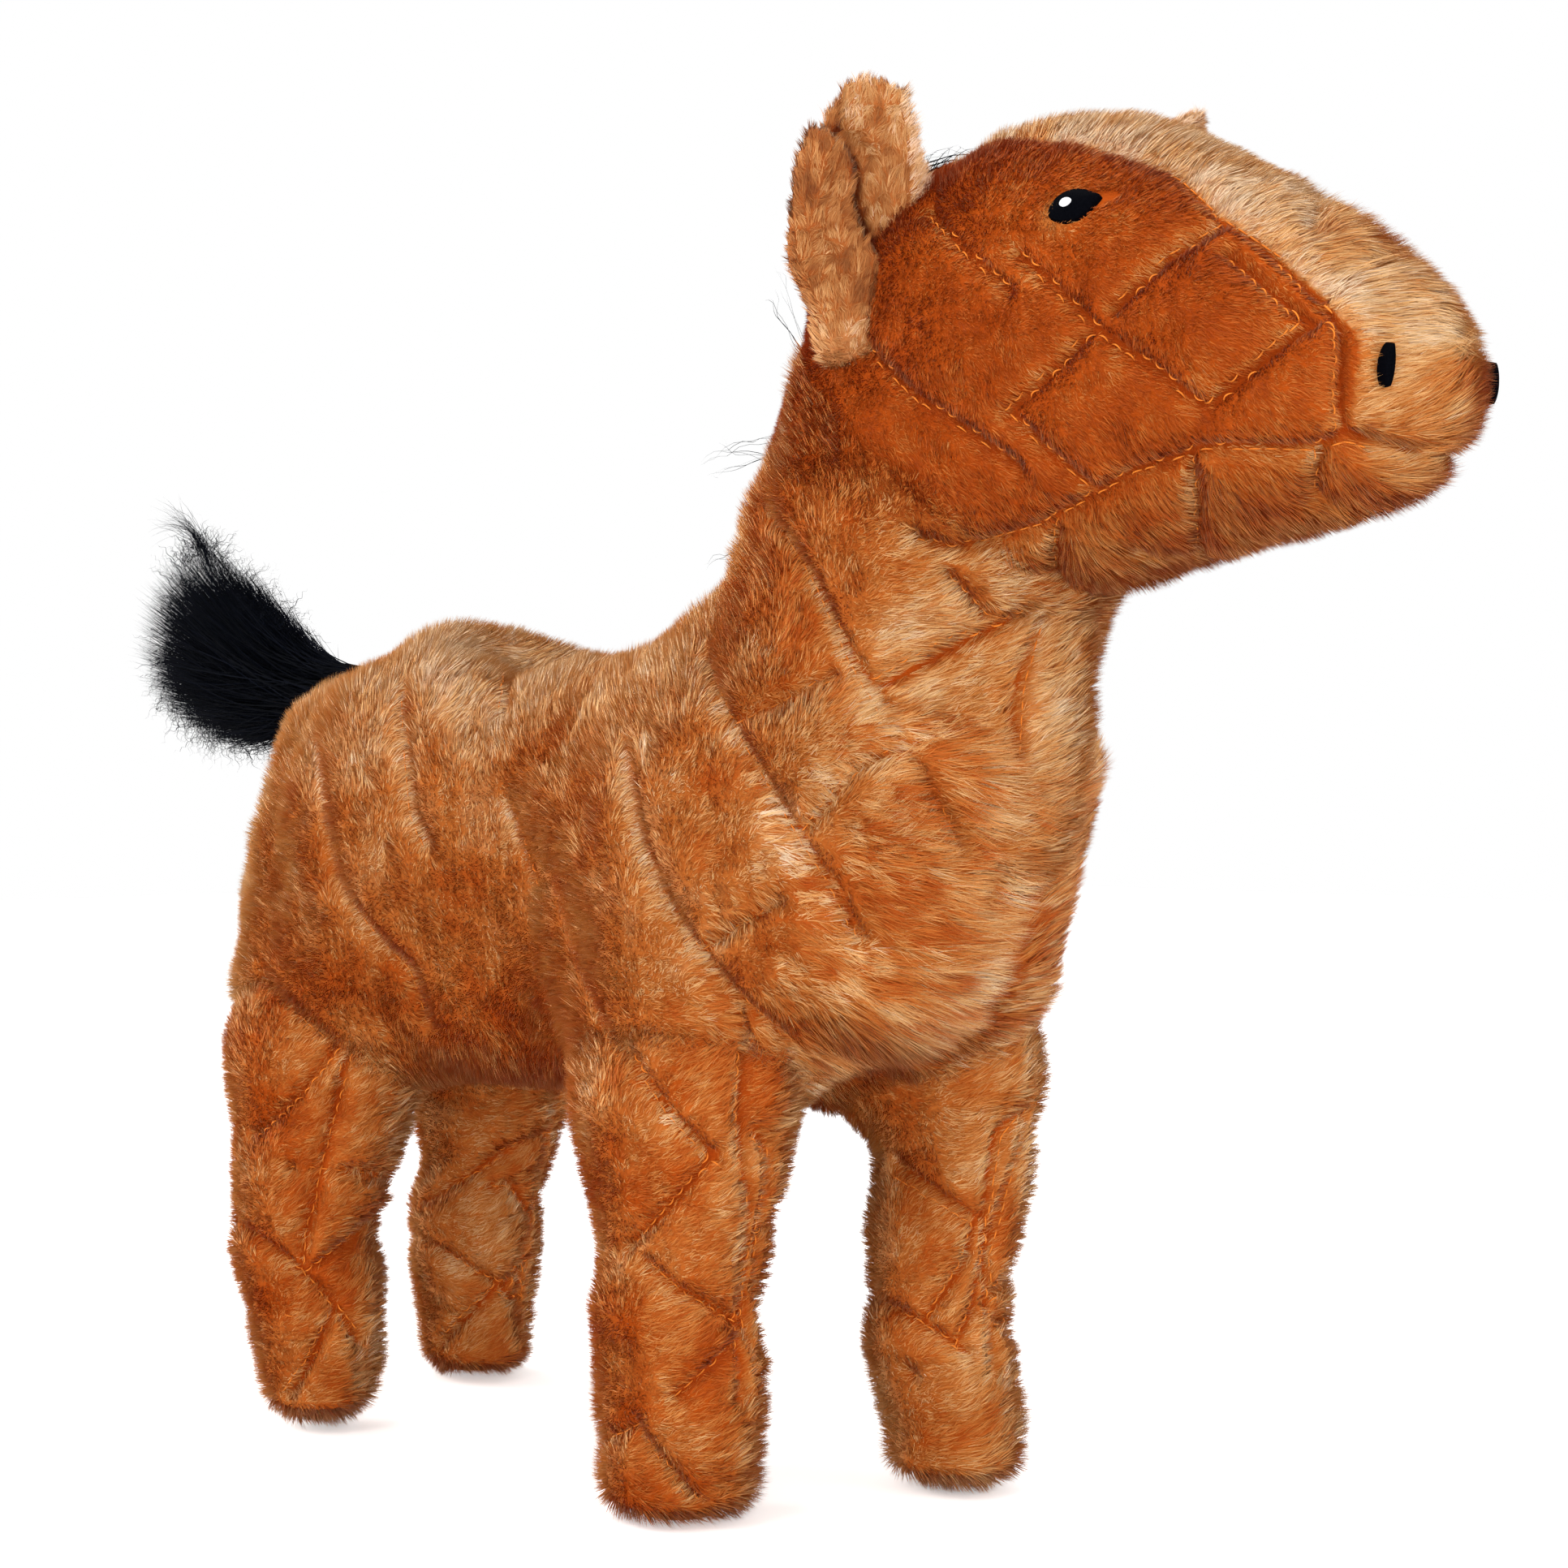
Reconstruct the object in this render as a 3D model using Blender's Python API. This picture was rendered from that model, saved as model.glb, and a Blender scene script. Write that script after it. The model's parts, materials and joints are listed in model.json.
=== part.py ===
"""A standing stuffed toy horse, as the pieces that a soft-toy maker cuts, fills and sews together.

Every stuffed part is a form: an ellipse carried along a line, with round ends. Its cloth panels are
thick patches of that form's surface, and its filling is the same form drawn in by the cloth. A limb's
round end is turned about the limb's own bending axis, so it moves in the socket cut for it.
Lengths are in metres, +X is towards the nose, +Y is the horse's left and +Z is up.
"""

import math

import bmesh
import bpy
import mathutils
import numpy as np

# Cloth, seams and joints
CLOTH = 0.0026
SEAM_GAP = 0.0003
FILLING_GAP = 0.0022
MERGE_DISTANCE = 0.000001
NECK_BEND = math.radians(8)
RIGHT = -1
LEFT = 1

# Torso, from the rump to the chest
TORSO_LENGTH = 0.253
TORSO_DEPTH = 0.112
TORSO_WIDTH = 0.098
TORSO_REAR_X = -0.118
BELLY_HEIGHT = 0.086
TORSO_PLACE_SHARES = (0.19, 0.28, 0.40, 0.52, 0.64, 0.73, 0.81)
TORSO_RISE_SHARES = (0.47, 0.50, 0.49, 0.465, 0.47, 0.51, 0.54)
TORSO_DEPTH_SHARES = (0.87, 0.99, 0.97, 0.91, 0.93, 0.95, 0.86)
TORSO_WIDTH_SHARES = (0.88, 1.0, 0.98, 0.95, 0.97, 1.0, 0.94)
TORSO_FULLNESS = 2.4
GUSSET_SPAN_SHARES = (0.12, 0.92)
GUSSET_HALF_ANGLE = math.radians(34)

# Neck, from its ball in the shoulders to the flat seat of the head
NECK_BASE_X = 0.1015
NECK_BASE_Z = 0.178
NECK_LENGTH = 0.055
NECK_DEPTH = 0.087
NECK_WIDTH = 0.081
HEAD_SEAT_TILT = math.radians(45)
NECK_FORWARD_SHARES = (0.0, 0.12, 0.29)
NECK_RISE_SHARES = (0.0, 0.50, 0.93)
NECK_TILT_SHARES = (0.0, 0.42, 1.0)
NECK_DEPTH_SHARES = (1.0, 0.91, 0.75)
NECK_WIDTH_SHARES = (1.0, 0.95, 0.88)

# Head, from the back of the skull to the nose
HEAD_LENGTH = 0.150
HEAD_DEPTH = 0.092
HEAD_WIDTH = 0.080
HEAD_SET_BACK = 0.0314
HEAD_SET_UP = 0.0158
HEAD_DROP = 0.011
HEAD_TILT = math.radians(93)
HEAD_PLACE_SHARES = (0.13, 0.30, 0.48, 0.66, 0.79, 0.89)
HEAD_DROP_SHARES = (0.0, 0.0, 0.05, 0.35, 0.75, 1.0)
HEAD_DEPTH_SHARES = (0.82, 1.0, 0.97, 0.80, 0.63, 0.52)
HEAD_WIDTH_SHARES = (0.84, 1.0, 1.0, 0.90, 0.80, 0.73)
HEAD_FULLNESS = 2.2
NOSE_SEAM_SHARE = 0.97
CHIN_SEAM_SHARE = 0.16
FOREHEAD_HALF_ANGLE = math.radians(31)
FOREHEAD_TAPER_SHARE = 0.55
CHIN_HALF_ANGLE = math.radians(36)

# Legs, from the hip's ball to the sole
HIP_HEIGHT = 0.088
FORE_RIGHT_HIP_X = 0.0660
FORE_LEFT_HIP_X = 0.0820
HIND_RIGHT_HIP_X = -0.0700
HIND_LEFT_HIP_X = -0.0790
FORE_HIP_Y = 0.0310
HIND_HIP_Y = 0.0335
FORE_RIGHT_STEP = -0.004
FORE_LEFT_STEP = 0.005
HIND_RIGHT_STEP = 0.006
HIND_LEFT_STEP = -0.008
FORE_HIP_DIAMETER = 0.051
HIND_HIP_DIAMETER = 0.050
HIP_WIDTH = 0.042
SOLE_THICKNESS = 0.0026
LEG_PLACE_SHARES = (0.0, 0.20, 0.42, 0.62, 0.82, 0.95, 1.0)
FORE_ROUND_SHARES = (1.0, 0.89, 0.73, 0.70, 0.73, 0.70, 0.62)
HIND_ROUND_SHARES = (1.0, 0.88, 0.74, 0.69, 0.70, 0.68, 0.60)
LEG_WIDTH_SHARES = (1.0, 0.91, 0.83, 0.80, 0.83, 0.80, 0.71)

# Ears, each a back and a lining that move on a round root
EAR_HEIGHT = 0.0455
EAR_WIDTH = 0.029
EAR_THICKNESS = 0.009
EAR_CUP = 0.007
EAR_PLACE_SHARE = 0.06
EAR_ROOT_ANGLE = {RIGHT: math.radians(7), LEFT: math.radians(45)}
EAR_SINK = 0.001
EAR_LEAN_OUT = {RIGHT: math.radians(-5), LEFT: math.radians(20)}
EAR_LEAN_FORWARD = {RIGHT: math.radians(13), LEFT: math.radians(35)}
EAR_TURN_OUT = math.radians(28)
EAR_FOLD = math.radians(18)
EAR_ROOM_WIDENING = 0.0020
EAR_ROOM_FULLNESS = 4.0
EAR_TIP_DEPTH = 0.0048
EAR_PLACE_SHARES = (0.0, 0.3, 0.62, 0.86, 1.0)
EAR_WIDTH_SHARES = (0.62, 0.93, 1.0, 0.80, 0.46)
EAR_THICKNESS_SHARES = (1.0, 0.85, 0.72, 0.66, 0.6)

# Face, worked in thread on the cloth
EYE_PLACE_SHARE = 0.485
EYE_ANGLE = math.radians(34)
EYE_LENGTH = 0.0108
EYE_HEIGHT = 0.0082
EYE_TILT = math.radians(20)
EYE_RISE = 0.0016
HIGHLIGHT_LENGTH = 0.0034
HIGHLIGHT_HEIGHT = 0.0024
HIGHLIGHT_RISE = 0.0007
NOSTRIL_PLACE_SHARE = 1.58
NOSTRIL_ANGLE = math.radians(-4)
NOSTRIL_LENGTH = 0.0105
NOSTRIL_HEIGHT = 0.0062
NOSTRIL_TILT = math.radians(80)
NOSTRIL_RISE = 0.0012
EYE_POINT_SHARE = 0.35
NOSTRIL_POINT_SHARE = 0.30

# Tail, a dock sewn into the rump and a tuft of long hair
DOCK_HEIGHT_SHARE = 0.84
DOCK_DIAMETER = 0.017
DOCK_LENGTH = 0.008
DOCK_TILT = math.radians(-58)
DOCK_RAISE = 0.0025
TUFT_TILT = math.radians(-87)
TUFT_LENGTH = 0.064
TUFT_DEPTH = 0.058
TUFT_WIDTH = 0.034
TUFT_PLACE_SHARES = (0.10, 0.38, 0.68, 0.90)
TUFT_LIFT_SHARES = (-0.02, -0.02, 0.0, 0.04)
TUFT_DEPTH_SHARES = (0.42, 0.82, 1.0, 0.72)
TUFT_WIDTH_SHARES = (0.52, 0.88, 1.0, 0.72)

# Mane of long hair, along the crest and down the left side
MANE_THICKNESS = 0.005
MANE_SPAN_SHARES = (0.42, 0.97)
MANE_TOP_ANGLE = math.radians(93)
MANE_LOW_ANGLE = math.radians(22)
POLL_SPAN_SHARES = (-0.45, -0.02)
POLL_HALF_ANGLE = math.radians(12)
POLL_THICKNESS = 0.004

# Mesh counts
TORSO_SIDES = 20
NECK_SIDES = 16
HEAD_SIDES = 16
LEG_SIDES = 12
TORSO_ROWS = 9
NECK_ROWS = 5
HEAD_ROWS = 9
LEG_ROWS = 7
EAR_ROWS = 5
CAP_ROWS = 3
PATCH_SIDES = 12

# Colours, roughness
LONG_PILE = ((0.50, 0.22, 0.085), 0.85)
CHEEK_PILE = ((0.42, 0.13, 0.035), 0.85)
SOLE_PILE = ((0.46, 0.19, 0.07), 0.9)
EAR_PILE = ((0.40, 0.17, 0.06), 0.85)
LINING_PILE = ((0.55, 0.28, 0.11), 0.85)
FILLING = ((0.86, 0.85, 0.82), 0.95)
BLACK_THREAD = ((0.010, 0.011, 0.014), 0.45)
WHITE_THREAD = ((0.90, 0.90, 0.88), 0.5)
BLACK_HAIR = ((0.008, 0.009, 0.014), 0.4)

QUARTER_TURN = math.pi / 2
WHOLE_TURN = 2 * math.pi
UP_ANGLE = QUARTER_TURN
SMALL_STEP = 0.001
DOWN_ANGLE = -QUARTER_TURN


def smooth(values, at):
    """Carries a smooth curve through values at equal steps of 0 to 1, and reads it at the places given."""
    values = np.asarray(values, float)
    steps = len(values) - 1
    slopes = np.gradient(values, axis=0)
    place = np.clip(np.asarray(at, float), 0, 1) * steps
    first = np.minimum(place.astype(int), steps - 1)
    t = place - first
    return (
        (2 * t**3 - 3 * t**2 + 1) * values[first]
        + (t**3 - 2 * t**2 + t) * slopes[first]
        + (3 * t**2 - 2 * t**3) * values[first + 1]
        + (t**3 - t**2) * slopes[first + 1]
    )


class Form:
    """Ellipses carried along a line of centres, with a round cap at an end that has a cap depth.

    Along runs from 0 to 1 between the first and the last section, from -1 to 0 over the first cap and
    from 1 to 2 over the last. Around is an angle from the horse's left towards the section's top.
    """

    def __init__(self, centres, tilts, half_depths, half_widths, caps, fullness=2.0, cap_fullness=2.0):
        self.centres = np.asarray(centres, float)
        self.tilts = np.asarray(tilts, float)
        self.half_depths = np.asarray(half_depths, float)
        self.half_widths = np.asarray(half_widths, float)
        self.caps = caps
        self.fullness = fullness
        self.cap_fullness = cap_fullness

    def points(self, along, around, inset=0.0):
        """One point for each pair of along and around, which broadcast together."""
        along, around = np.broadcast_arrays(np.asarray(along, float), np.asarray(around, float))
        flat = along.ravel()
        centre = np.stack([smooth(self.centres[:, i], flat) for i in range(3)], axis=1)
        tilt = smooth(self.tilts, flat)
        forward = np.stack([np.sin(tilt), np.zeros_like(tilt), np.cos(tilt)], axis=1)
        top = np.stack([-np.cos(tilt), np.zeros_like(tilt), np.sin(tilt)], axis=1)
        over = np.where(flat < 0, flat, np.where(flat > 1, flat - 1, 0)) * QUARTER_TURN
        cap = np.where(flat < 0, max(self.caps[0] - inset, 0), max(self.caps[1] - inset, 0))
        cap_power = 2 / self.cap_fullness
        reach = np.sign(over) * np.abs(np.sin(over)) ** cap_power
        centre = centre + forward * (cap * reach)[:, None]
        shrink = np.cos(over).clip(0) ** cap_power
        half_depth = (smooth(self.half_depths, flat) - inset) * shrink
        half_width = (smooth(self.half_widths, flat) - inset) * shrink
        turn = around.ravel()
        power = 2 / self.fullness
        across = np.sign(np.cos(turn)) * np.abs(np.cos(turn)) ** power * half_width
        upward = np.sign(np.sin(turn)) * np.abs(np.sin(turn)) ** power * half_depth
        found = centre + top * upward[:, None]
        found[:, 1] += across
        return found.reshape(along.shape + (3,))

    def length(self):
        """The length of the line of centres."""
        return float(np.linalg.norm(np.diff(self.centres, axis=0), axis=1).sum())

    def facing(self, along, around):
        """The surface's outward normal, along direction and around direction at one place."""
        ahead = self.points(along + SMALL_STEP, around) - self.points(along - SMALL_STEP, around)
        aside = self.points(along, around + SMALL_STEP) - self.points(along, around - SMALL_STEP)
        normal = np.cross(aside, ahead)
        return normal / np.linalg.norm(normal), ahead / (2 * SMALL_STEP), aside / (2 * SMALL_STEP)


def rows_of(start, end, body_rows):
    """Places along a form from start to end, with CAP_ROWS steps over each round cap that they take in."""
    before = np.linspace(start, 0, CAP_ROWS, endpoint=False) if start < 0 else np.empty(0)
    inside = np.linspace(max(start, 0), min(end, 1), body_rows)
    after = np.linspace(1, end, CAP_ROWS + 1)[1:] if end > 1 else np.empty(0)
    return np.concatenate([before, inside, after])


def grid_faces(rows, columns, around, first=0):
    """Quads of a grid of points, closed round its columns where around is true."""
    last = columns if around else columns - 1
    quads = []
    for i in range(rows - 1):
        for j in range(last):
            k = (j + 1) % columns
            quads.append((i * columns + j, i * columns + k, (i + 1) * columns + k, (i + 1) * columns + j))
    return [tuple(first + corner for corner in quad) for quad in quads]


def mesh_of(name, points, faces):
    """A closed mesh from points and faces, with meeting points made one and its faces turned outwards."""
    mesh = bpy.data.meshes.new(name)
    mesh.from_pydata(np.asarray(points, float).reshape(-1, 3).tolist(), [], faces)
    build = bmesh.new()
    build.from_mesh(mesh)
    bmesh.ops.remove_doubles(build, verts=build.verts, dist=MERGE_DISTANCE)
    bmesh.ops.recalc_face_normals(build, faces=build.faces)
    if build.calc_volume(signed=True) < 0:
        bmesh.ops.reverse_faces(build, faces=build.faces)
    build.to_mesh(mesh)
    build.free()
    mesh.shade_smooth()
    return mesh


def solid_mesh(name, points):
    """A solid whose skin is rows of points, closed round, with a flat face over each end that is open."""
    rows, columns = points.shape[:2]
    faces = grid_faces(rows, columns, True)
    faces.append(tuple(range(columns)))
    faces.append(tuple(range((rows - 1) * columns, rows * columns)))
    return mesh_of(name, points, faces)


def patch_mesh(name, outer, inner, around=False):
    """A solid between two grids of points that face each other, with walls round its open edges."""
    rows, columns = outer.shape[:2]
    count = rows * columns
    faces = grid_faces(rows, columns, around)
    faces += [quad[::-1] for quad in grid_faces(rows, columns, around, count)]
    steps = columns if around else columns - 1
    for j in range(steps):
        k = (j + 1) % columns
        end = (rows - 1) * columns
        faces.append((j, k, count + k, count + j))
        faces.append((end + k, end + j, count + end + j, count + end + k))
    if not around:
        for i in range(rows - 1):
            low = i * columns
            high = low + columns - 1
            faces.append((low + columns, low, count + low, count + low + columns))
            faces.append((high, high + columns, count + high + columns, count + high))
    return mesh_of(name, np.concatenate([outer.reshape(-1, 3), inner.reshape(-1, 3)]), faces)


def panel_mesh(name, form, along, low, high, columns, shift=0.0, outer=0.0, inner=CLOTH):
    """A panel of cloth: the form's surface from angle low to angle high at each place along it."""
    low = np.broadcast_to(low, along.shape)
    high = np.broadcast_to(high, along.shape)
    share = np.linspace(0, 1, columns + 1)
    around = low[:, None] + (high - low)[:, None] * share[None, :]
    outside = form.points(along[:, None], around, outer)
    inside = form.points(along[:, None], around, inner)
    outside[..., 1] += shift
    inside[..., 1] += shift
    return patch_mesh(name, outside, inside)


def filling_mesh(name, form, along, sides):
    """The filling of a form: its surface drawn in by the cloth and by a clearance for the flats of both."""
    around = np.linspace(0, WHOLE_TURN, sides, endpoint=False)
    return solid_mesh(name, form.points(along[:, None], around[None, :], CLOTH + FILLING_GAP))


def badge_mesh(name, form, along, around, size, tilt, point, lift, rise):
    """A raised shape of thread on a form's surface: an oval drawn out to a point at its first end."""
    normal, ahead, aside = form.facing(along, around)
    turn = np.linspace(0, WHOLE_TURN, PATCH_SIDES, endpoint=False)
    reach = 1 + point * np.maximum(np.cos(turn), 0) ** 4
    flat_x = reach * np.cos(turn) * size[0] / 2
    flat_y = np.sin(turn) * size[1] / 2
    run = flat_x * math.cos(tilt) - flat_y * math.sin(tilt)
    climb = flat_x * math.sin(tilt) + flat_y * math.cos(tilt)
    ring_shares = np.array([0.0, 0.6, 1.0])
    swell_shares = np.array([1.0, 0.86, 0.30])
    place = along + ring_shares[:, None] * run / np.linalg.norm(ahead)
    angle = around + ring_shares[:, None] * climb / np.linalg.norm(aside)
    inside = form.points(place, angle, -lift)
    lift_by = (lift + rise * swell_shares)[:, None, None] * normal
    outside = form.points(place, angle) + lift_by
    return patch_mesh(name, outside, inside, around=True)


def finish(name, finish_of):
    """A plain material with the part's colour and roughness."""
    colour, roughness = finish_of
    material = bpy.data.materials.new(name)
    material.use_nodes = True
    shader = material.node_tree.nodes["Principled BSDF"]
    shader.inputs["Base Color"].default_value = (*colour, 1)
    shader.inputs["Roughness"].default_value = roughness
    return material


class Joint:
    """An empty on a bending axis. Pieces and further joints hang on it."""

    def __init__(self, name, place, parent=None):
        self.place = np.asarray(place, float)
        self.empty = bpy.data.objects.new(name, None)
        bpy.context.scene.collection.objects.link(self.empty)
        held = parent.place if parent else np.zeros(3)
        self.empty.parent = parent.empty if parent else None
        self.empty.location = self.place - held

    def hold(self, name, mesh, finish_of):
        """Makes a piece from a mesh that is drawn in the horse's own coordinates."""
        mesh.transform(mathutils.Matrix.Translation(-self.place))
        piece = bpy.data.objects.new(name, mesh)
        piece.data.materials.append(finish(name, finish_of))
        piece.parent = self.empty
        bpy.context.scene.collection.objects.link(piece)
        return piece


def cutter(joint, name, mesh):
    """A shape that only cuts others."""
    shape = joint.hold(name, mesh, FILLING)
    shape.hide_render = True
    shape.display_type = "WIRE"
    return shape


def cut(piece, shapes):
    """Takes each shape's space out of a piece."""
    for shape in shapes:
        boolean = piece.modifiers.new("cut for " + shape.name, "BOOLEAN")
        boolean.operation = "DIFFERENCE"
        boolean.solver = "EXACT"
        boolean.object = shape


def torso_form():
    places = TORSO_REAR_X + TORSO_LENGTH * np.array(TORSO_PLACE_SHARES)
    heights = BELLY_HEIGHT + TORSO_DEPTH * np.array(TORSO_RISE_SHARES)
    centres = np.stack([places, np.zeros_like(places), heights], axis=1)
    caps = (places[0] - TORSO_REAR_X, TORSO_REAR_X + TORSO_LENGTH - places[-1])
    half_depths = TORSO_DEPTH / 2 * np.array(TORSO_DEPTH_SHARES)
    half_widths = TORSO_WIDTH / 2 * np.array(TORSO_WIDTH_SHARES)
    return Form(centres, [QUARTER_TURN] * len(places), half_depths, half_widths, caps, TORSO_FULLNESS)


def neck_form(grow=0.0, bend=0.0):
    """The neck. Grown and given a bend, it is the room that the neck needs in the shoulders."""
    forward = NECK_BASE_X + NECK_LENGTH * np.array(NECK_FORWARD_SHARES)
    rise = NECK_LENGTH * np.array(NECK_RISE_SHARES)
    centres = np.stack([forward, np.zeros_like(rise), NECK_BASE_Z + rise], axis=1)
    half_depths = NECK_DEPTH / 2 * np.array(NECK_DEPTH_SHARES) + grow + rise * math.tan(bend)
    half_widths = NECK_WIDTH / 2 * np.array(NECK_WIDTH_SHARES) + grow + rise * math.tan(bend)
    tilts = HEAD_SEAT_TILT * np.array(NECK_TILT_SHARES)
    return Form(centres, tilts, half_depths, half_widths, (half_depths[0], 0))


def head_form():
    seat = neck_form().centres[-1]
    rear = seat[0] - HEAD_SET_BACK
    places = rear + HEAD_LENGTH * np.array(HEAD_PLACE_SHARES)
    heights = seat[2] + HEAD_SET_UP - HEAD_DROP * np.array(HEAD_DROP_SHARES)
    centres = np.stack([places, np.zeros_like(places), heights], axis=1)
    caps = (places[0] - rear, rear + HEAD_LENGTH - places[-1])
    half_depths = HEAD_DEPTH / 2 * np.array(HEAD_DEPTH_SHARES)
    half_widths = HEAD_WIDTH / 2 * np.array(HEAD_WIDTH_SHARES)
    tilts = [HEAD_TILT] * len(places)
    return Form(centres, tilts, half_depths, half_widths, caps, HEAD_FULLNESS, HEAD_FULLNESS)


def leg_form(hip, step, diameter, round_shares):
    """A leg that hangs from its hip's ball, with the foot a step away in front or behind."""
    fall = hip[2] - SOLE_THICKNESS - SEAM_GAP
    down = np.array(LEG_PLACE_SHARES)
    centres = np.stack([hip[0] + step * down, np.full_like(down, hip[1]), hip[2] - fall * down], axis=1)
    half_depths = diameter / 2 * np.array(round_shares)
    half_widths = HIP_WIDTH / 2 * np.array(LEG_WIDTH_SHARES)
    return Form(centres, [math.pi] * len(down), half_depths, half_widths, (half_depths[0], 0))


def socket_mesh(name, place, radius, half_width):
    """A ball flattened along the bending axis, with room for the limb's round end."""
    room = 1 / math.cos(math.pi / TORSO_SIDES)
    reach = (radius + SEAM_GAP) * room
    side = (half_width + SEAM_GAP) * room
    ball = Form([place, place], [0, 0], [reach, reach], [side, side], (reach, reach))
    along = np.concatenate([np.linspace(-1, 0, CAP_ROWS + 3), np.linspace(1, 2, CAP_ROWS + 3)[1:]])
    around = np.linspace(0, WHOLE_TURN, TORSO_SIDES, endpoint=False)
    return solid_mesh(name, ball.points(along[:, None], around[None, :]))


def sided_panels(joint, name, form, along, columns, low=DOWN_ANGLE):
    """A left and a right panel that meet along a form's top and bottom, at a seam's clearance."""
    pieces = []
    left = panel_mesh(name + "_left", form, along, low, UP_ANGLE, columns, SEAM_GAP / 2)
    pieces.append(joint.hold(name + "_left", left, LONG_PILE))
    right = panel_mesh(name + "_right", form, along, UP_ANGLE, math.pi - low, columns, -SEAM_GAP / 2)
    pieces.append(joint.hold(name + "_right", right, LONG_PILE))
    return pieces


def make_torso(horse, sockets):
    form = torso_form()
    along = rows_of(-1, 2, TORSO_ROWS)
    first, last = GUSSET_SPAN_SHARES
    share = np.clip((along - first) / (last - first), 0, 1)
    half_angle = GUSSET_HALF_ANGLE * np.sqrt(np.sin(np.pi * share).clip(0))
    seam = SEAM_GAP / (TORSO_DEPTH / 2)
    low = DOWN_ANGLE + half_angle
    pieces = sided_panels(horse, "torso_side", form, along, TORSO_SIDES // 2, low)
    inside = along[(share > 0) & (share < 1)]
    opened = (half_angle[(share > 0) & (share < 1)] - seam).clip(0)
    gusset = panel_mesh("belly_gusset", form, inside, DOWN_ANGLE - opened, DOWN_ANGLE + opened, TORSO_SIDES // 4)
    pieces.append(horse.hold("belly_gusset", gusset, LONG_PILE))
    filling = filling_mesh("torso_filling", form, along, TORSO_SIDES // 2)
    pieces.append(horse.hold("torso_filling", filling, FILLING))
    for piece in pieces:
        cut(piece, sockets)


def make_neck(joint):
    form = neck_form()
    along = rows_of(-1, 1, NECK_ROWS)
    sided_panels(joint, "neck_side", form, along, NECK_SIDES // 2)
    filling = filling_mesh("neck_filling", form, along, NECK_SIDES // 2)
    joint.hold("neck_filling", filling, FILLING)
    span = np.linspace(*MANE_SPAN_SHARES, NECK_ROWS)
    mane = panel_mesh(
        "mane", form, span, MANE_LOW_ANGLE, MANE_TOP_ANGLE, NECK_SIDES // 3,
        outer=-MANE_THICKNESS, inner=-2 * SEAM_GAP,
    )
    joint.hold("mane", mane, BLACK_HAIR)


def seat_cutter(joint):
    """A block behind the plane where the head sits on the neck."""
    centre = neck_form().centres[-1]
    reach = HEAD_LENGTH
    seat = (math.sin(HEAD_SEAT_TILT), math.cos(HEAD_SEAT_TILT))
    corners = []
    for depth in (SEAM_GAP, -reach):
        for side, high in ((-1, -1), (1, -1), (1, 1), (-1, 1)):
            x = centre[0] + seat[0] * depth - seat[1] * high * reach
            z = centre[2] + seat[1] * depth + seat[0] * high * reach
            corners.append((x, side * reach, z))
    faces = [(0, 1, 2, 3), (7, 6, 5, 4), (0, 4, 5, 1), (1, 5, 6, 2), (2, 6, 7, 3), (3, 7, 4, 0)]
    return cutter(joint, "head_seat_cutter", mesh_of("head_seat_cutter", corners, faces))


def make_head(joint, rooms):
    form = head_form()
    seam_along = SEAM_GAP / form.length()
    seam_angle = SEAM_GAP / (HEAD_DEPTH / 2)
    back = rows_of(-1, NOSE_SEAM_SHARE - seam_along / 2, HEAD_ROWS)
    share = np.clip(back / NOSE_SEAM_SHARE, 0, 1)
    brow = FOREHEAD_HALF_ANGLE * (1 - FOREHEAD_TAPER_SHARE * share)
    jaw_share = np.clip((back - CHIN_SEAM_SHARE) / (NOSE_SEAM_SHARE - CHIN_SEAM_SHARE), 0, 1)
    jaw = CHIN_HALF_ANGLE * np.sqrt(jaw_share)
    low = DOWN_ANGLE + jaw
    high = UP_ANGLE - brow - seam_angle
    columns = 3 * HEAD_SIDES // 8
    pieces = []
    left = panel_mesh("cheek_left", form, back, low, high, columns, SEAM_GAP / 2)
    pieces.append(joint.hold("cheek_left", left, CHEEK_PILE))
    right = panel_mesh("cheek_right", form, back, math.pi - high, math.pi - low, columns, -SEAM_GAP / 2)
    pieces.append(joint.hold("cheek_right", right, CHEEK_PILE))
    gusset = panel_mesh("forehead_gusset", form, back, UP_ANGLE - brow, UP_ANGLE + brow, HEAD_SIDES // 4)
    pieces.append(joint.hold("forehead_gusset", gusset, LONG_PILE))
    under = back[jaw_share > 0]
    opened = (jaw[jaw_share > 0] - seam_angle).clip(0)
    chin = panel_mesh("chin_gusset", form, under, DOWN_ANGLE - opened, DOWN_ANGLE + opened, HEAD_SIDES // 4)
    pieces.append(joint.hold("chin_gusset", chin, LONG_PILE))
    front = rows_of(NOSE_SEAM_SHARE + seam_along / 2, 2, 2)
    filling = filling_mesh("head_filling", form, np.concatenate([back, front]), HEAD_SIDES // 2)
    pieces.append(joint.hold("head_filling", filling, FILLING))
    around = np.linspace(0, WHOLE_TURN, HEAD_SIDES, endpoint=False)
    outside = form.points(front[:, None], around[None, :])
    inside = form.points(front[:, None], around[None, :], CLOTH)
    joint.hold("nose_panel", patch_mesh("nose_panel", outside, inside, around=True), CHEEK_PILE)
    seat = seat_cutter(joint)
    for piece in pieces:
        cut(piece, [seat, *rooms])
    poll_span = np.linspace(*POLL_SPAN_SHARES, 4)
    poll = panel_mesh(
        "poll_tuft", form, poll_span, UP_ANGLE - POLL_HALF_ANGLE, UP_ANGLE + POLL_HALF_ANGLE, 2,
        outer=-POLL_THICKNESS, inner=-2 * SEAM_GAP,
    )
    joint.hold("poll_tuft", poll, BLACK_HAIR)


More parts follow.
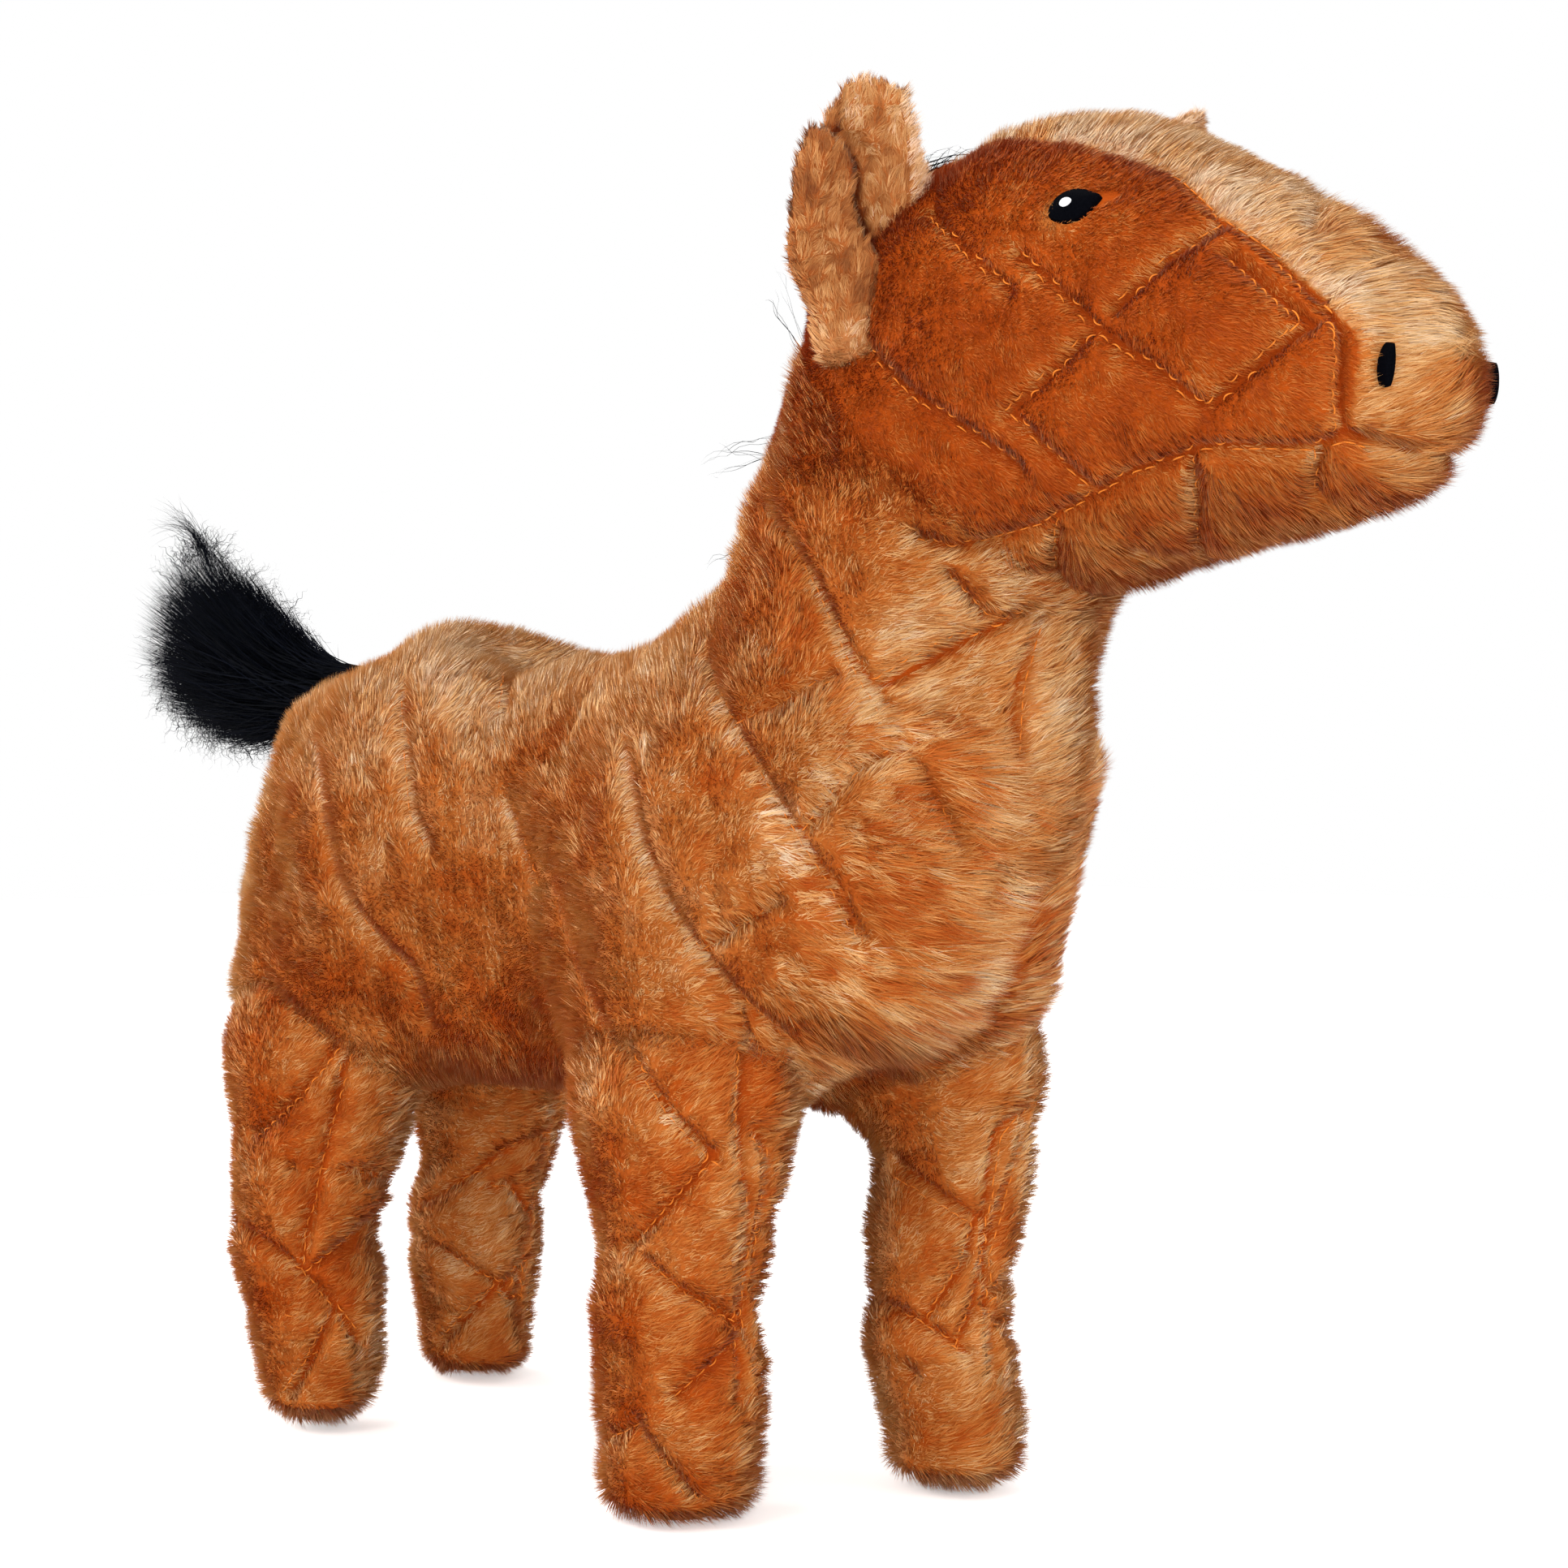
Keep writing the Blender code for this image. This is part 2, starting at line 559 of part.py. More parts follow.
def make_face(joint):
    """Eyes with a highlight, and nostrils, one of each on either side."""
    form = head_form()
    for side, word in ((RIGHT, "right"), (LEFT, "left")):
        eye_angle = QUARTER_TURN - side * (QUARTER_TURN - EYE_ANGLE)
        tilt = side * EYE_TILT
        eye = badge_mesh(
            "eye_" + word, form, EYE_PLACE_SHARE, eye_angle, (EYE_LENGTH, EYE_HEIGHT), tilt, EYE_POINT_SHARE,
            SEAM_GAP, EYE_RISE,
        )
        joint.hold("eye_" + word, eye, BLACK_THREAD)
        highlight = badge_mesh(
            "eye_highlight_" + word, form, EYE_PLACE_SHARE, eye_angle,
            (HIGHLIGHT_LENGTH, HIGHLIGHT_HEIGHT), tilt, 0, EYE_RISE + 2 * SEAM_GAP, HIGHLIGHT_RISE,
        )
        joint.hold("eye_highlight_" + word, highlight, WHITE_THREAD)
        nostril_angle = QUARTER_TURN - side * (QUARTER_TURN - NOSTRIL_ANGLE)
        nostril = badge_mesh(
            "nostril_" + word, form, NOSTRIL_PLACE_SHARE, nostril_angle,
            (NOSTRIL_LENGTH, NOSTRIL_HEIGHT), side * NOSTRIL_TILT, NOSTRIL_POINT_SHARE,
            SEAM_GAP, NOSTRIL_RISE,
        )
        joint.hold("nostril_" + word, nostril, BLACK_THREAD)


def ear_root(side):
    """Where an ear's round root is set into the head."""
    form = head_form()
    angle = QUARTER_TURN - side * (QUARTER_TURN - EAR_ROOT_ANGLE[side])
    normal = form.facing(EAR_PLACE_SHARE, angle)[0]
    return form.points(EAR_PLACE_SHARE, angle) - EAR_SINK * normal


def ear_points(side, along, around, face=0, drawn_in=False, room=False):
    """An ear's surface: a flat form cupped forwards, then leaned and turned about its root.

    Face is -1 for the back and 1 for the lining, and drawn_in gives the flat where the two meet.
    Room gives the space that the ear's root needs in the head as it folds forwards and back.
    """
    rise = EAR_HEIGHT * np.array(EAR_PLACE_SHARES)
    centres = np.stack([np.zeros_like(rise), np.zeros_like(rise), rise], axis=1)
    half_depths = EAR_THICKNESS / 2 * np.array(EAR_THICKNESS_SHARES)
    half_widths = EAR_WIDTH / 2 * np.array(EAR_WIDTH_SHARES)
    fullness = 2.0
    if room:
        half_depths = half_depths + 2 * SEAM_GAP + rise * math.tan(EAR_FOLD)
        half_widths = half_widths + EAR_ROOM_WIDENING
        fullness = EAR_ROOM_FULLNESS
    form = Form(centres, [0] * len(rise), half_depths, half_widths, (half_depths[0], EAR_TIP_DEPTH), fullness)
    found = form.points(along[:, None], around[None, :])
    if drawn_in:
        found[..., 0] = 0
    found[..., 0] += face * SEAM_GAP / 2
    cup = EAR_CUP * np.clip(found[..., 2] / EAR_HEIGHT, 0, 1)
    found[..., 0] += cup * (2 * found[..., 1] / EAR_WIDTH) ** 2
    out = -side * EAR_LEAN_OUT[side]
    turned = mathutils.Matrix.Rotation(out, 3, "X") @ mathutils.Matrix.Rotation(side * EAR_TURN_OUT, 3, "Z")
    turned = turned @ mathutils.Matrix.Rotation(EAR_LEAN_FORWARD[side], 3, "Y")
    return found @ np.array(turned).T + ear_root(side)


def ear_room(joint, side, word):
    """Cuts the room in which an ear's root stands and folds."""
    along = rows_of(-1, 1, EAR_ROWS)
    around = np.linspace(0, WHOLE_TURN, TORSO_SIDES, endpoint=False)
    points = ear_points(side, along, around, room=True)
    return cutter(joint, "ear_room_" + word, solid_mesh("ear_room_" + word, points))


def make_ear(joint, side, word):
    along = rows_of(-1, 2, EAR_ROWS)
    for name, first, last, face, finish_of in (
        ("ear_back_", 0, math.pi, -1, EAR_PILE),
        ("ear_lining_", WHOLE_TURN, math.pi, 1, LINING_PILE),
    ):
        around = np.linspace(first, last, LEG_SIDES // 2 + 1)
        outside = ear_points(side, along, around, face)
        inside = ear_points(side, along, around, face, drawn_in=True)
        joint.hold(name + word, patch_mesh(name + word, outside, inside), finish_of)


def make_leg(joint, word, form):
    along = rows_of(-1, 1, LEG_ROWS)
    half = LEG_SIDES // 2
    outward = LEFT if word.endswith("left") else RIGHT
    for name, side in (("outer", outward), ("inner", -outward)):
        low = DOWN_ANGLE if side == LEFT else UP_ANGLE
        mesh = panel_mesh(f"leg_{word}_{name}", form, along, low, low + math.pi, half, side * SEAM_GAP / 2)
        joint.hold(f"leg_{word}_{name}", mesh, LONG_PILE)
    filling = filling_mesh(f"leg_{word}_filling", form, along, half)
    joint.hold(f"leg_{word}_filling", filling, FILLING)
    around = np.linspace(0, WHOLE_TURN, LEG_SIDES, endpoint=False)
    top = form.points(1, around)
    top[:, 2] = SOLE_THICKNESS
    bottom = top.copy()
    bottom[:, 2] = 0
    joint.hold(f"sole_{word}", solid_mesh(f"sole_{word}", np.stack([top, bottom])), SOLE_PILE)


def slanted(tilt):
    """A direction in the horse's middle plane, at an angle from straight up towards the nose."""
    return np.array([math.sin(tilt), 0, math.cos(tilt)])


def dock_place():
    """The middle of the dock's ball, nearly half of which is set in the rump."""
    form = torso_form()
    along = np.linspace(-1, 0, 200)
    line = form.points(along, UP_ANGLE)
    height = BELLY_HEIGHT + TORSO_DEPTH * DOCK_HEIGHT_SHARE
    here = int(np.abs(line[:, 2] - height).argmin())
    return line[here] + DOCK_RAISE * slanted(DOCK_TILT)


def make_tail(joint):
    place = joint.place
    radius = DOCK_DIAMETER / 2
    end = place + slanted(DOCK_TILT) * DOCK_LENGTH
    dock = Form([place, end], [DOCK_TILT] * 2, [radius] * 2, [radius] * 2, (radius, radius))
    around = np.linspace(0, WHOLE_TURN, LEG_SIDES, endpoint=False)
    rows = rows_of(-1, 2, 2)
    mesh = solid_mesh("tail_dock", dock.points(rows[:, None], around[None, :]))
    joint.hold("tail_dock", mesh, BLACK_HAIR)
    run = TUFT_LENGTH * np.array(TUFT_PLACE_SHARES)
    lift = TUFT_LENGTH * np.array(TUFT_LIFT_SHARES)
    start = end + slanted(TUFT_TILT) * (radius + SEAM_GAP)
    centres = start + run[:, None] * slanted(TUFT_TILT) + lift[:, None] * slanted(TUFT_TILT + QUARTER_TURN)
    half_depths = TUFT_DEPTH / 2 * np.array(TUFT_DEPTH_SHARES)
    half_widths = TUFT_WIDTH / 2 * np.array(TUFT_WIDTH_SHARES)
    caps = (run[0], TUFT_LENGTH - run[-1])
    tuft = Form(centres, [TUFT_TILT] * len(run), half_depths, half_widths, caps)
    rows = rows_of(-1, 2, 6)
    mesh = solid_mesh("tail_tuft", tuft.points(rows[:, None], around[None, :]))
    joint.hold("tail_tuft", mesh, BLACK_HAIR)


def stand_at_origin(horse):
    """Moves the horse so that the middle of its box is over the origin and its soles are at height zero."""
    bpy.context.view_layer.update()
    graph = bpy.context.evaluated_depsgraph_get()
    corners = []
    for piece in bpy.data.objects:
        if piece.type == "MESH" and not piece.hide_render:
            shape = piece.evaluated_get(graph)
            corners += [shape.matrix_world @ vertex.co for vertex in shape.data.vertices]
    corners = np.array(corners)
    middle = (corners.min(axis=0) + corners.max(axis=0)) / 2
    horse.empty.location = (-middle[0], -middle[1], -corners[:, 2].min())


def main():
    for leftover in list(bpy.data.objects):
        bpy.data.objects.remove(leftover)
    horse = Joint("horse", (0, 0, 0))
    sockets = []
    neck = neck_form()
    neck_joint = Joint("neck_bend", neck.centres[0], horse)
    room = neck_form(4 * SEAM_GAP, NECK_BEND)
    rows = np.concatenate([np.linspace(-1, 0, 2 * CAP_ROWS), np.linspace(0, 1, NECK_ROWS)[1:]])
    around = np.linspace(0, WHOLE_TURN, 2 * NECK_SIDES, endpoint=False)
    neck_room = solid_mesh("neck_room", room.points(rows[:, None], around[None, :]))
    sockets.append(cutter(horse, "neck_room", neck_room))
    for word, side, hip_x, step in (
        ("fore_right", RIGHT, FORE_RIGHT_HIP_X, FORE_RIGHT_STEP),
        ("fore_left", LEFT, FORE_LEFT_HIP_X, FORE_LEFT_STEP),
        ("hind_right", RIGHT, HIND_RIGHT_HIP_X, HIND_RIGHT_STEP),
        ("hind_left", LEFT, HIND_LEFT_HIP_X, HIND_LEFT_STEP),
    ):
        fore = word.startswith("fore")
        hip_y = side * (FORE_HIP_Y if fore else HIND_HIP_Y)
        diameter = FORE_HIP_DIAMETER if fore else HIND_HIP_DIAMETER
        hip = (hip_x, hip_y, HIP_HEIGHT)
        form = leg_form(hip, step, diameter, FORE_ROUND_SHARES if fore else HIND_ROUND_SHARES)
        make_leg(Joint("leg_swing_" + word, hip, horse), word, form)
        socket = socket_mesh("hip_room_" + word, hip, diameter / 2, HIP_WIDTH / 2)
        sockets.append(cutter(horse, "hip_room_" + word, socket))
    tail_joint = Joint("tail_swing", dock_place(), horse)
    tail_room = socket_mesh("dock_room", tail_joint.place, DOCK_DIAMETER / 2, DOCK_DIAMETER / 2)
    sockets.append(cutter(horse, "dock_room", tail_room))
    make_tail(tail_joint)
    make_torso(horse, sockets)
    make_neck(neck_joint)
    head_joint = Joint("head_turn", neck.centres[-1], neck_joint)
    rooms = []
    for side, word in ((RIGHT, "right"), (LEFT, "left")):
        ear_joint = Joint("ear_fold_" + word, ear_root(side), head_joint)
        make_ear(ear_joint, side, word)
        rooms.append(ear_room(head_joint, side, word))
    make_head(head_joint, rooms)
    make_face(head_joint)
    stand_at_origin(horse)


main()
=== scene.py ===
"""A standing plush horse in quilted tan pile, with a black hair tail and a stitched face.

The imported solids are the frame. Each stuffed part gets a skin of padded cloth that follows the same
form, drawn in along its quilting lines, and a pile of fine tufts that grows out of that skin.
Lengths are in metres, +X is towards the nose, +Y is the horse's left and +Z is up.
"""

import json
import math

import bpy
import numpy as np
from mathutils import Matrix


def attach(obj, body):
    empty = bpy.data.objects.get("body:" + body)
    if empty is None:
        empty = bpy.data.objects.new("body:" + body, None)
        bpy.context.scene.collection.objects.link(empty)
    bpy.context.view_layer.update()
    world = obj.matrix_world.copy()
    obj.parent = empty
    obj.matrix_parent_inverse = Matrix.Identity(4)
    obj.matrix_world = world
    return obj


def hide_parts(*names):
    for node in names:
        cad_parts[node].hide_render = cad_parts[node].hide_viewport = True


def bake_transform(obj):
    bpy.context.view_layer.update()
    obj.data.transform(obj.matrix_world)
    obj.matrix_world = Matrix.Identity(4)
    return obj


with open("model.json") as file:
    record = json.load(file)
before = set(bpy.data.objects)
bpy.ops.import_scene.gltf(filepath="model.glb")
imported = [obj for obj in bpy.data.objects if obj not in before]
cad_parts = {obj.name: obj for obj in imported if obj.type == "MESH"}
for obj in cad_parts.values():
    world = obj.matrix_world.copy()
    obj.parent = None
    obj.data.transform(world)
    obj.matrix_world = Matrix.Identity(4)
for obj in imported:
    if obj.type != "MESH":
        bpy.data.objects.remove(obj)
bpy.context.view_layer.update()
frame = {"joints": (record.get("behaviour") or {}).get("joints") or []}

bl_info = {
    "name": "Plush Horse",
    "version": (1, 0, 0),
    "blender": (4, 5, 0),
    "location": "View3D > Sidebar > Plush Horse",
    "description": "Makes a standing plush horse in quilted pile",
    "category": "Add Mesh",
}

RIGHT = -1
LEFT = 1
QUARTER_TURN = math.pi / 2
WHOLE_TURN = 2 * math.pi
JOINTS = {joint["name"]: np.array(joint["pos_m"], float) for joint in frame["joints"]}

# The horse's own measures, as its solids have them
NECK_BASE = np.array([0.1015, 0.0, 0.178])
HORSE_PLACE = JOINTS["neck_bend"] - NECK_BASE
TORSO = {
    "rear": -0.118, "length": 0.253, "depth": 0.112, "width": 0.098, "belly": 0.086,
    "places": (0.19, 0.28, 0.40, 0.52, 0.64, 0.73, 0.81),
    "rises": (0.47, 0.50, 0.49, 0.465, 0.47, 0.51, 0.54),
    "depths": (0.87, 0.99, 0.97, 0.91, 0.93, 0.95, 0.86),
    "widths": (0.88, 1.0, 0.98, 0.95, 0.97, 1.0, 0.94),
}
NECK = {
    "length": 0.055, "depth": 0.087, "width": 0.081, "tilt": math.radians(45),
    "forwards": (0.0, 0.12, 0.29), "rises": (0.0, 0.50, 0.93), "tilts": (0.0, 0.42, 1.0),
    "depths": (1.0, 0.91, 0.75), "widths": (1.0, 0.95, 0.88),
}
HEAD = {
    "length": 0.150, "depth": 0.092, "width": 0.080, "back": 0.0314, "up": 0.0158, "drop": 0.011,
    "tilt": math.radians(93), "places": (0.13, 0.30, 0.48, 0.66, 0.79, 0.89),
    "drops": (0.0, 0.0, 0.05, 0.35, 0.75, 1.0), "depths": (0.82, 1.0, 0.97, 0.80, 0.63, 0.52),
    "widths": (0.84, 1.0, 1.0, 0.90, 0.80, 0.73),
}
# How far the padded cloth lies inside the solids, which its quilting and pile fill out again
PILE_DEPTH = {"torso": 0.0034, "neck": 0.0032, "head": 0.0030, "leg": 0.0036}
LEG_PLACES = (0.0, 0.20, 0.42, 0.62, 0.82, 0.95, 1.0)
LEG_WIDTHS = (1.0, 0.91, 0.83, 0.80, 0.83, 0.80, 0.71)
FORE_ROUNDS = (1.0, 0.89, 0.73, 0.70, 0.73, 0.70, 0.62)
HIND_ROUNDS = (1.0, 0.88, 0.74, 0.69, 0.70, 0.68, 0.60)
HIP_WIDTH = 0.042
SOLE = 0.0029
FOOT_ROUND = 0.0095
STITCH_PITCH = 0.0032
STITCH_RADIUS = 0.00017
STITCH_ARCH = 0.0007
STITCH_RISE = 0.0001
# The most that a stitch's middle may lie off its own part
STITCH_SLACK = 0.006
# The corners of a stitch's rings, and the rings' thickness as shares
STITCH_SIDES = 6
STITCH_SHARES = (0.55, 0.95, 1.0, 1.0, 0.95, 0.55)
LEGS = {
    "fore_right": (-0.004, 0.051, FORE_ROUNDS),
    "fore_left": (0.005, 0.051, FORE_ROUNDS),
    "hind_right": (0.006, 0.050, HIND_ROUNDS),
    "hind_left": (-0.008, 0.050, HIND_ROUNDS),
}
EAR = {
    "height": 0.0455, "width": 0.029, "thickness": 0.009, "cup": 0.007, "tip": 0.0048,
    "turn": math.radians(28),
    "places": (0.0, 0.3, 0.62, 0.86, 1.0), "widths": (0.62, 0.93, 1.0, 0.80, 0.46),
    "thicknesses": (1.0, 0.85, 0.72, 0.66, 0.6),
    "lean_out": {RIGHT: math.radians(-5), LEFT: math.radians(29)},
    "lean_forward": {RIGHT: math.radians(13), LEFT: math.radians(35)},
}
EYE = {"along": 0.485, "angle": math.radians(34), "size": (0.0112, 0.0076), "tilt": math.radians(35),
       "bare": (0.0037, 0.0026)}
# The sewn ear's breadth and height as shares of its solid's
EAR_SQUEEZE = {RIGHT: 0.79, LEFT: 1.15}
EAR_RISE = {RIGHT: 0.98, LEFT: 0.90}
# Shares of the ear's height between which its tip widens, and its base's outer side narrows
EAR_SPREAD = (0.80, 1.08)
EAR_TAPER = (-0.08, 0.30)
# Where the ear's outer edge folds over its lining: heights of the ear, and places across from middle to edge
EAR_FOLD_HEIGHTS = (-0.1, 0.12, 0.26, 0.39, 0.53, 0.70, 0.78, 0.86, 1.15)
EAR_FOLD_PLACES = (-1.3, -1.0, -0.55, -0.12, 0.14, 0.22, 0.50, 0.95, 1.5)
NOSTRIL = {"along": 1.58, "angle": math.radians(-4), "size": (0.0084, 0.0020), "tilt": math.radians(84),
           "bare": (0.0020, 0.0016)}

# Where the stuffing stands out or draws in: x, y and z from the horse's middle and a lift, in millimetres
MOUND_WIDTH = 14.0
MOUNDS = {
    "torso": (
        (-102, -35, 132, -1.5), (-101, -34, 148, -7.5), (-97, -31, 162, -7.5), (-93, -33, 111, 4.0),
        (-98, -38, 114, -4.5), (-51, -25, 192, -3.0), (-40, -8, 198, 4.0), (-33, 6, 197, -5.5),
        (-16, 8, 195, -7.0), (-3, 14, 192, -5.5), (28, -11, 191, -2.0), (43, -15, 192, 3.0),
        (59, -23, 194, 2.5), (52, 0, 86, -3.0), (63, 9, 88, 1.0), (74, 0, 86, -3.0), (116, 25, 111, 4.5),
        (123, 26, 120, -1.0), (126, 30, 142, -1.0), (134, 0, 126, -1.0), (136, 0, 146, -1.0),
    ),
    "neck": (
        (74, -30, 195, 0.5), (79, -26, 216, 3.0), (89, -30, 240, -5.0), (136, 25, 162, -3.5),
        (136, 25, 178, -5.5), (138, 27, 198, 1.0),
    ),
    "head": (
        (94, -32, 249, -4.0), (129, -23, 290, -4.5), (140, -14, 289, 1.5), (154, 8, 198, 1.5),
        (164, -4, 289, 1.0), (171, 10, 202, 1.0), (179, 4, 283, 0.5), (184, 9, 204, 1.0),
        (193, 11, 278, -1.0), (198, 8, 271, 2.0), (210, 6, 270, -1.0), (214, 3, 263, 2.0),
        (211, 7, 209, 1.0), (222, 10, 209, -0.5), (228, 10, 257, -4.0), (231, 20, 223, -2.5),
        (231, 20, 246, -4.5),
    ),
}
# How far each leg's left and right edges, as the camera sees them, stand out at these heights, in millimetres
LEG_EDGE_HEIGHTS = (6, 18, 32, 46, 60, 74, 88, 100)
LEG_EDGES = {
    "fore_right": ((0.0, 1.0, 2.5, 4.0, 1.0, 1.5, 1.5, 0.0), (-1.0, -0.5, 3.0, 0.0, 0.5, 0.0, -3.0, 0.0)),
    "fore_left": (
        (-2.5, -1.0, 3.0, 2.0, -0.5, -5.5, -4.5, -3.0),
        (-2.5, -3.5, -2.5, -2.5, -1.5, 0.0, 0.5, 0.5),
    ),
    "hind_right": (
        (-2.5, -1.0, 1.0, 5.0, 2.0, -1.5, -2.0, -2.5),
        (-5.5, -2.0, 0.0, -2.0, 3.0, 3.0, 0.0, 0.0),
    ),
    "hind_left": ((-1.0, -0.5, 4.0, 5.5, -0.5, 0.0, 0.0, 0.0), (-2.0, -4.0, -1.5, -1.0, -0.5, 0.5, 0.0, 0.0)),
}

# How high the cloth lies under the thread of the eyes and nostrils
FACE_REST = 0.0016

# How far below and above each joint the ends of its cloth are set, along Z or along the ear; nothing bends
# the cloth by them
NECK_BEND_REACH = (-0.012, 0.022)
LEG_BEND_REACH = (0.030, -0.016)
EAR_BEND_REACH = (-0.002, 0.010)

# The camera of the photograph: level, at the horse's right front
CAMERA_PLACE = np.array([0.516, -0.453, 0.158]) + HORSE_PLACE
CAMERA_AHEAD = np.array([-math.sqrt(0.5), math.sqrt(0.5), 0.0])
CAMERA_ASIDE = np.array([math.sqrt(0.5), math.sqrt(0.5), 0.0])
CAMERA_UP = np.array([0.0, 0.0, 1.0])
PHOTO_SIDE = 1932
PHOTO_FOCAL = 3540.0
SENSOR = 36.0
# Where the rays start before the body, and how near they have to come to it
RAY_START = 0.42
RAY_SLACK = 0.002

# Where the stitching lines run in the photograph, in its pixels
HEAD_LINES = (
    ((1145, 260), (1175, 295), (1241, 356)),
    ((1252, 310), (1294, 348), (1352, 406), (1417, 450), (1478, 500)),
    ((1068, 430), (1126, 488), (1191, 530), (1252, 572)),
    ((1510, 275), (1436, 318), (1371, 379)),
    ((1345, 405), (1306, 446), (1237, 511)),
    ((1610, 390), (1550, 445), (1490, 500)),
    ((1168, 199), (1244, 176), (1332, 180), (1394, 199), (1451, 218), (1500, 265), (1560, 305), (1620, 350)),
    ((1425, 140), (1423, 165), (1425, 190)),
    ((1607, 245), (1609, 268), (1611, 290)),
    ((1624, 365), (1657, 394), (1659, 436), (1653, 485), (1655, 543)),
    ((1441, 568), (1479, 552), (1550, 552), (1624, 554), (1657, 543), (1740, 560)),
    ((1126, 660), (1176, 676), (1218, 664), (1283, 645), (1340, 614), (1397, 580), (1441, 568)),
    ((1300, 640), (1299, 670), (1300, 700)),
    ((1466, 560), (1473, 625), (1475, 693)),
    ((1624, 556), (1620, 575), (1620, 600)),
    ((1610, 390), (1560, 350), (1510, 310)),
    ((1345, 600), (1295, 560), (1245, 510)),
)
BODY_LINES = (
    ((957, 641), (1003, 714), (1045, 806), (1088, 875), (1115, 919), (1166, 1016), (1177, 1047)),
    ((876, 817), (901, 889), (937, 950), (988, 1037), (1023, 1088), (1054, 1154)),
    ((779, 924), (804, 1037), (830, 1098), (870, 1169), (921, 1231), (957, 1266), (993, 1333)),
    ((677, 1088), (720, 1190), (763, 1282), (824, 1373), (885, 1435)),
    ((1166, 710), (1190, 735), (1212, 761)),
    ((1268, 756), (1177, 797), (1080, 843)),
    ((957, 1111), (910, 1142), (870, 1167)),
    ((1023, 833), (960, 868), (902, 894)),
    ((1145, 905), (1050, 950), (985, 1030)),
    ((636, 794), (624, 835), (615, 876)),
    ((495, 847), (498, 920), (504, 1001), (519, 1036)),
    ((394, 919), (404, 997), (419, 1079), (444, 1126), (472, 1161), (504, 1194), (526, 1254)),
    ((322, 1190), (347, 1222), (380, 1255), (415, 1286)),
    ((611, 990), (625, 1045), (640, 1097)),
)
# The seams round the forehead, nose and chin panels
BROW_EDGE = HEAD_LINES[6]
NOSE_EDGE = (
    (1600, 232), (1609, 268), (1613, 310), (1624, 365), (1650, 394), (1659, 436), (1653, 485), (1655, 543),
)
CHIN_EDGE = HEAD_LINES[11] + HEAD_LINES[10][1:]
CENTRE_LINES = (
    ((1284, 766), (1258, 853), (1253, 945), (1243, 986), (1207, 1118)),
)
LEG_LINES = {
    "fore_right": (
        (
            (916, 1236), (913, 1333), (915, 1435), (921, 1496), (915, 1561), (915, 1639), (921, 1700),
            (933, 1741),
        ),
        ((880, 1422), (830, 1480), (778, 1537)),
        ((798, 1553), (839, 1590), (909, 1631)),
        ((896, 1659), (864, 1690), (831, 1720)),
        ((741, 1778), (766, 1766), (790, 1753)),
        ((794, 1769), (823, 1810), (856, 1851)),
    ),
    "fore_left": (
        ((1088, 1439), (1145, 1471), (1202, 1504)),
        ((1207, 1504), (1186, 1561), (1137, 1627)),
        ((1072, 1569), (1100, 1606), (1133, 1627), (1190, 1667)),
        ((1256, 1373), (1231, 1402), (1215, 1508), (1223, 1610), (1227, 1684)),
    ),
    "hind_right": (
        ((429, 1296), (408, 1390), (391, 1461), (377, 1520), (373, 1566), (415, 1611), (443, 1646)),
        ((415, 1286), (370, 1345), (310, 1400)),
        ((373, 1566), (340, 1530), (300, 1490)),
        ((470, 1480), (430, 1530), (378, 1566)),
        ((345, 1725), (380, 1680), (413, 1611)),
    ),
    "hind_left": (
        ((690, 1390), (620, 1420), (560, 1460), (520, 1500)),
        ((530, 1520), (590, 1570), (650, 1605)),
        ((655, 1555), (600, 1600), (540, 1655)),
    ),
}
MIRROR_LEG = {
    "fore_right": "fore_left", "fore_left": "fore_right",
    "hind_right": "hind_left", "hind_left": "hind_right",
}


def linear(red, green, blue):
    """Scene colour of a display colour given from 0 to 255: the share to the power 2.4, past its foot."""
    shares = np.array([red, green, blue], float) / 255
    curve = ((shares + 0.055) / 1.055) ** 2.4
    return tuple(float(share) for share in np.where(shares <= 0.04045, shares / 12.92, curve))


def unit(vectors):
    """Each vector divided by its length."""
    return vectors / np.maximum(np.linalg.norm(vectors, axis=-1, keepdims=True), 1e-12)


def dot(first, second):
    return np.sum(first * second, axis=-1)


def along_skin(directions, normals):
    """Each direction with its part along the normal taken away, at length one."""
    return unit(directions - dot(directions, normals)[..., None] * normals)


def ease(values, start, end):
    """0 before start, 1 after end, and three times the square less twice the cube of the share between."""
    share = np.clip((np.asarray(values, float) - start) / (end - start), 0, 1)
    return share * share * (3 - 2 * share)


def bell(values, middle, width):
    """1 at the middle, falling off on both sides: e to minus the square of the distance over the width."""
    return np.exp(-(((values - middle) / width) ** 2))


def smooth(values, at):
    """A cubic curve through values at equal steps of 0 to 1, read at the places given."""
    values = np.asarray(values, float)
    steps = len(values) - 1
    slopes = np.gradient(values, axis=0)
    place = np.clip(np.asarray(at, float), 0, 1) * steps
    first = np.minimum(place.astype(int), steps - 1)
    t = place - first
    return (
        (2 * t**3 - 3 * t**2 + 1) * values[first]
        + (t**3 - 2 * t**2 + t) * slopes[first]
        + (3 * t**2 - 2 * t**3) * values[first + 1]
        + (t**3 - t**2) * slopes[first + 1]
    )


def lengths_along(line):
    """How far along a line each of its points is."""
    return np.concatenate([[0], np.cumsum(np.linalg.norm(np.diff(line, axis=0), axis=1))])


def read_off(at, steps, line):
    """Points on a line whose own points are at the steps given, straight between them."""
    return np.stack([np.interp(at, steps, column) for column in line.T], axis=1)


NOISE_CELLS = 32


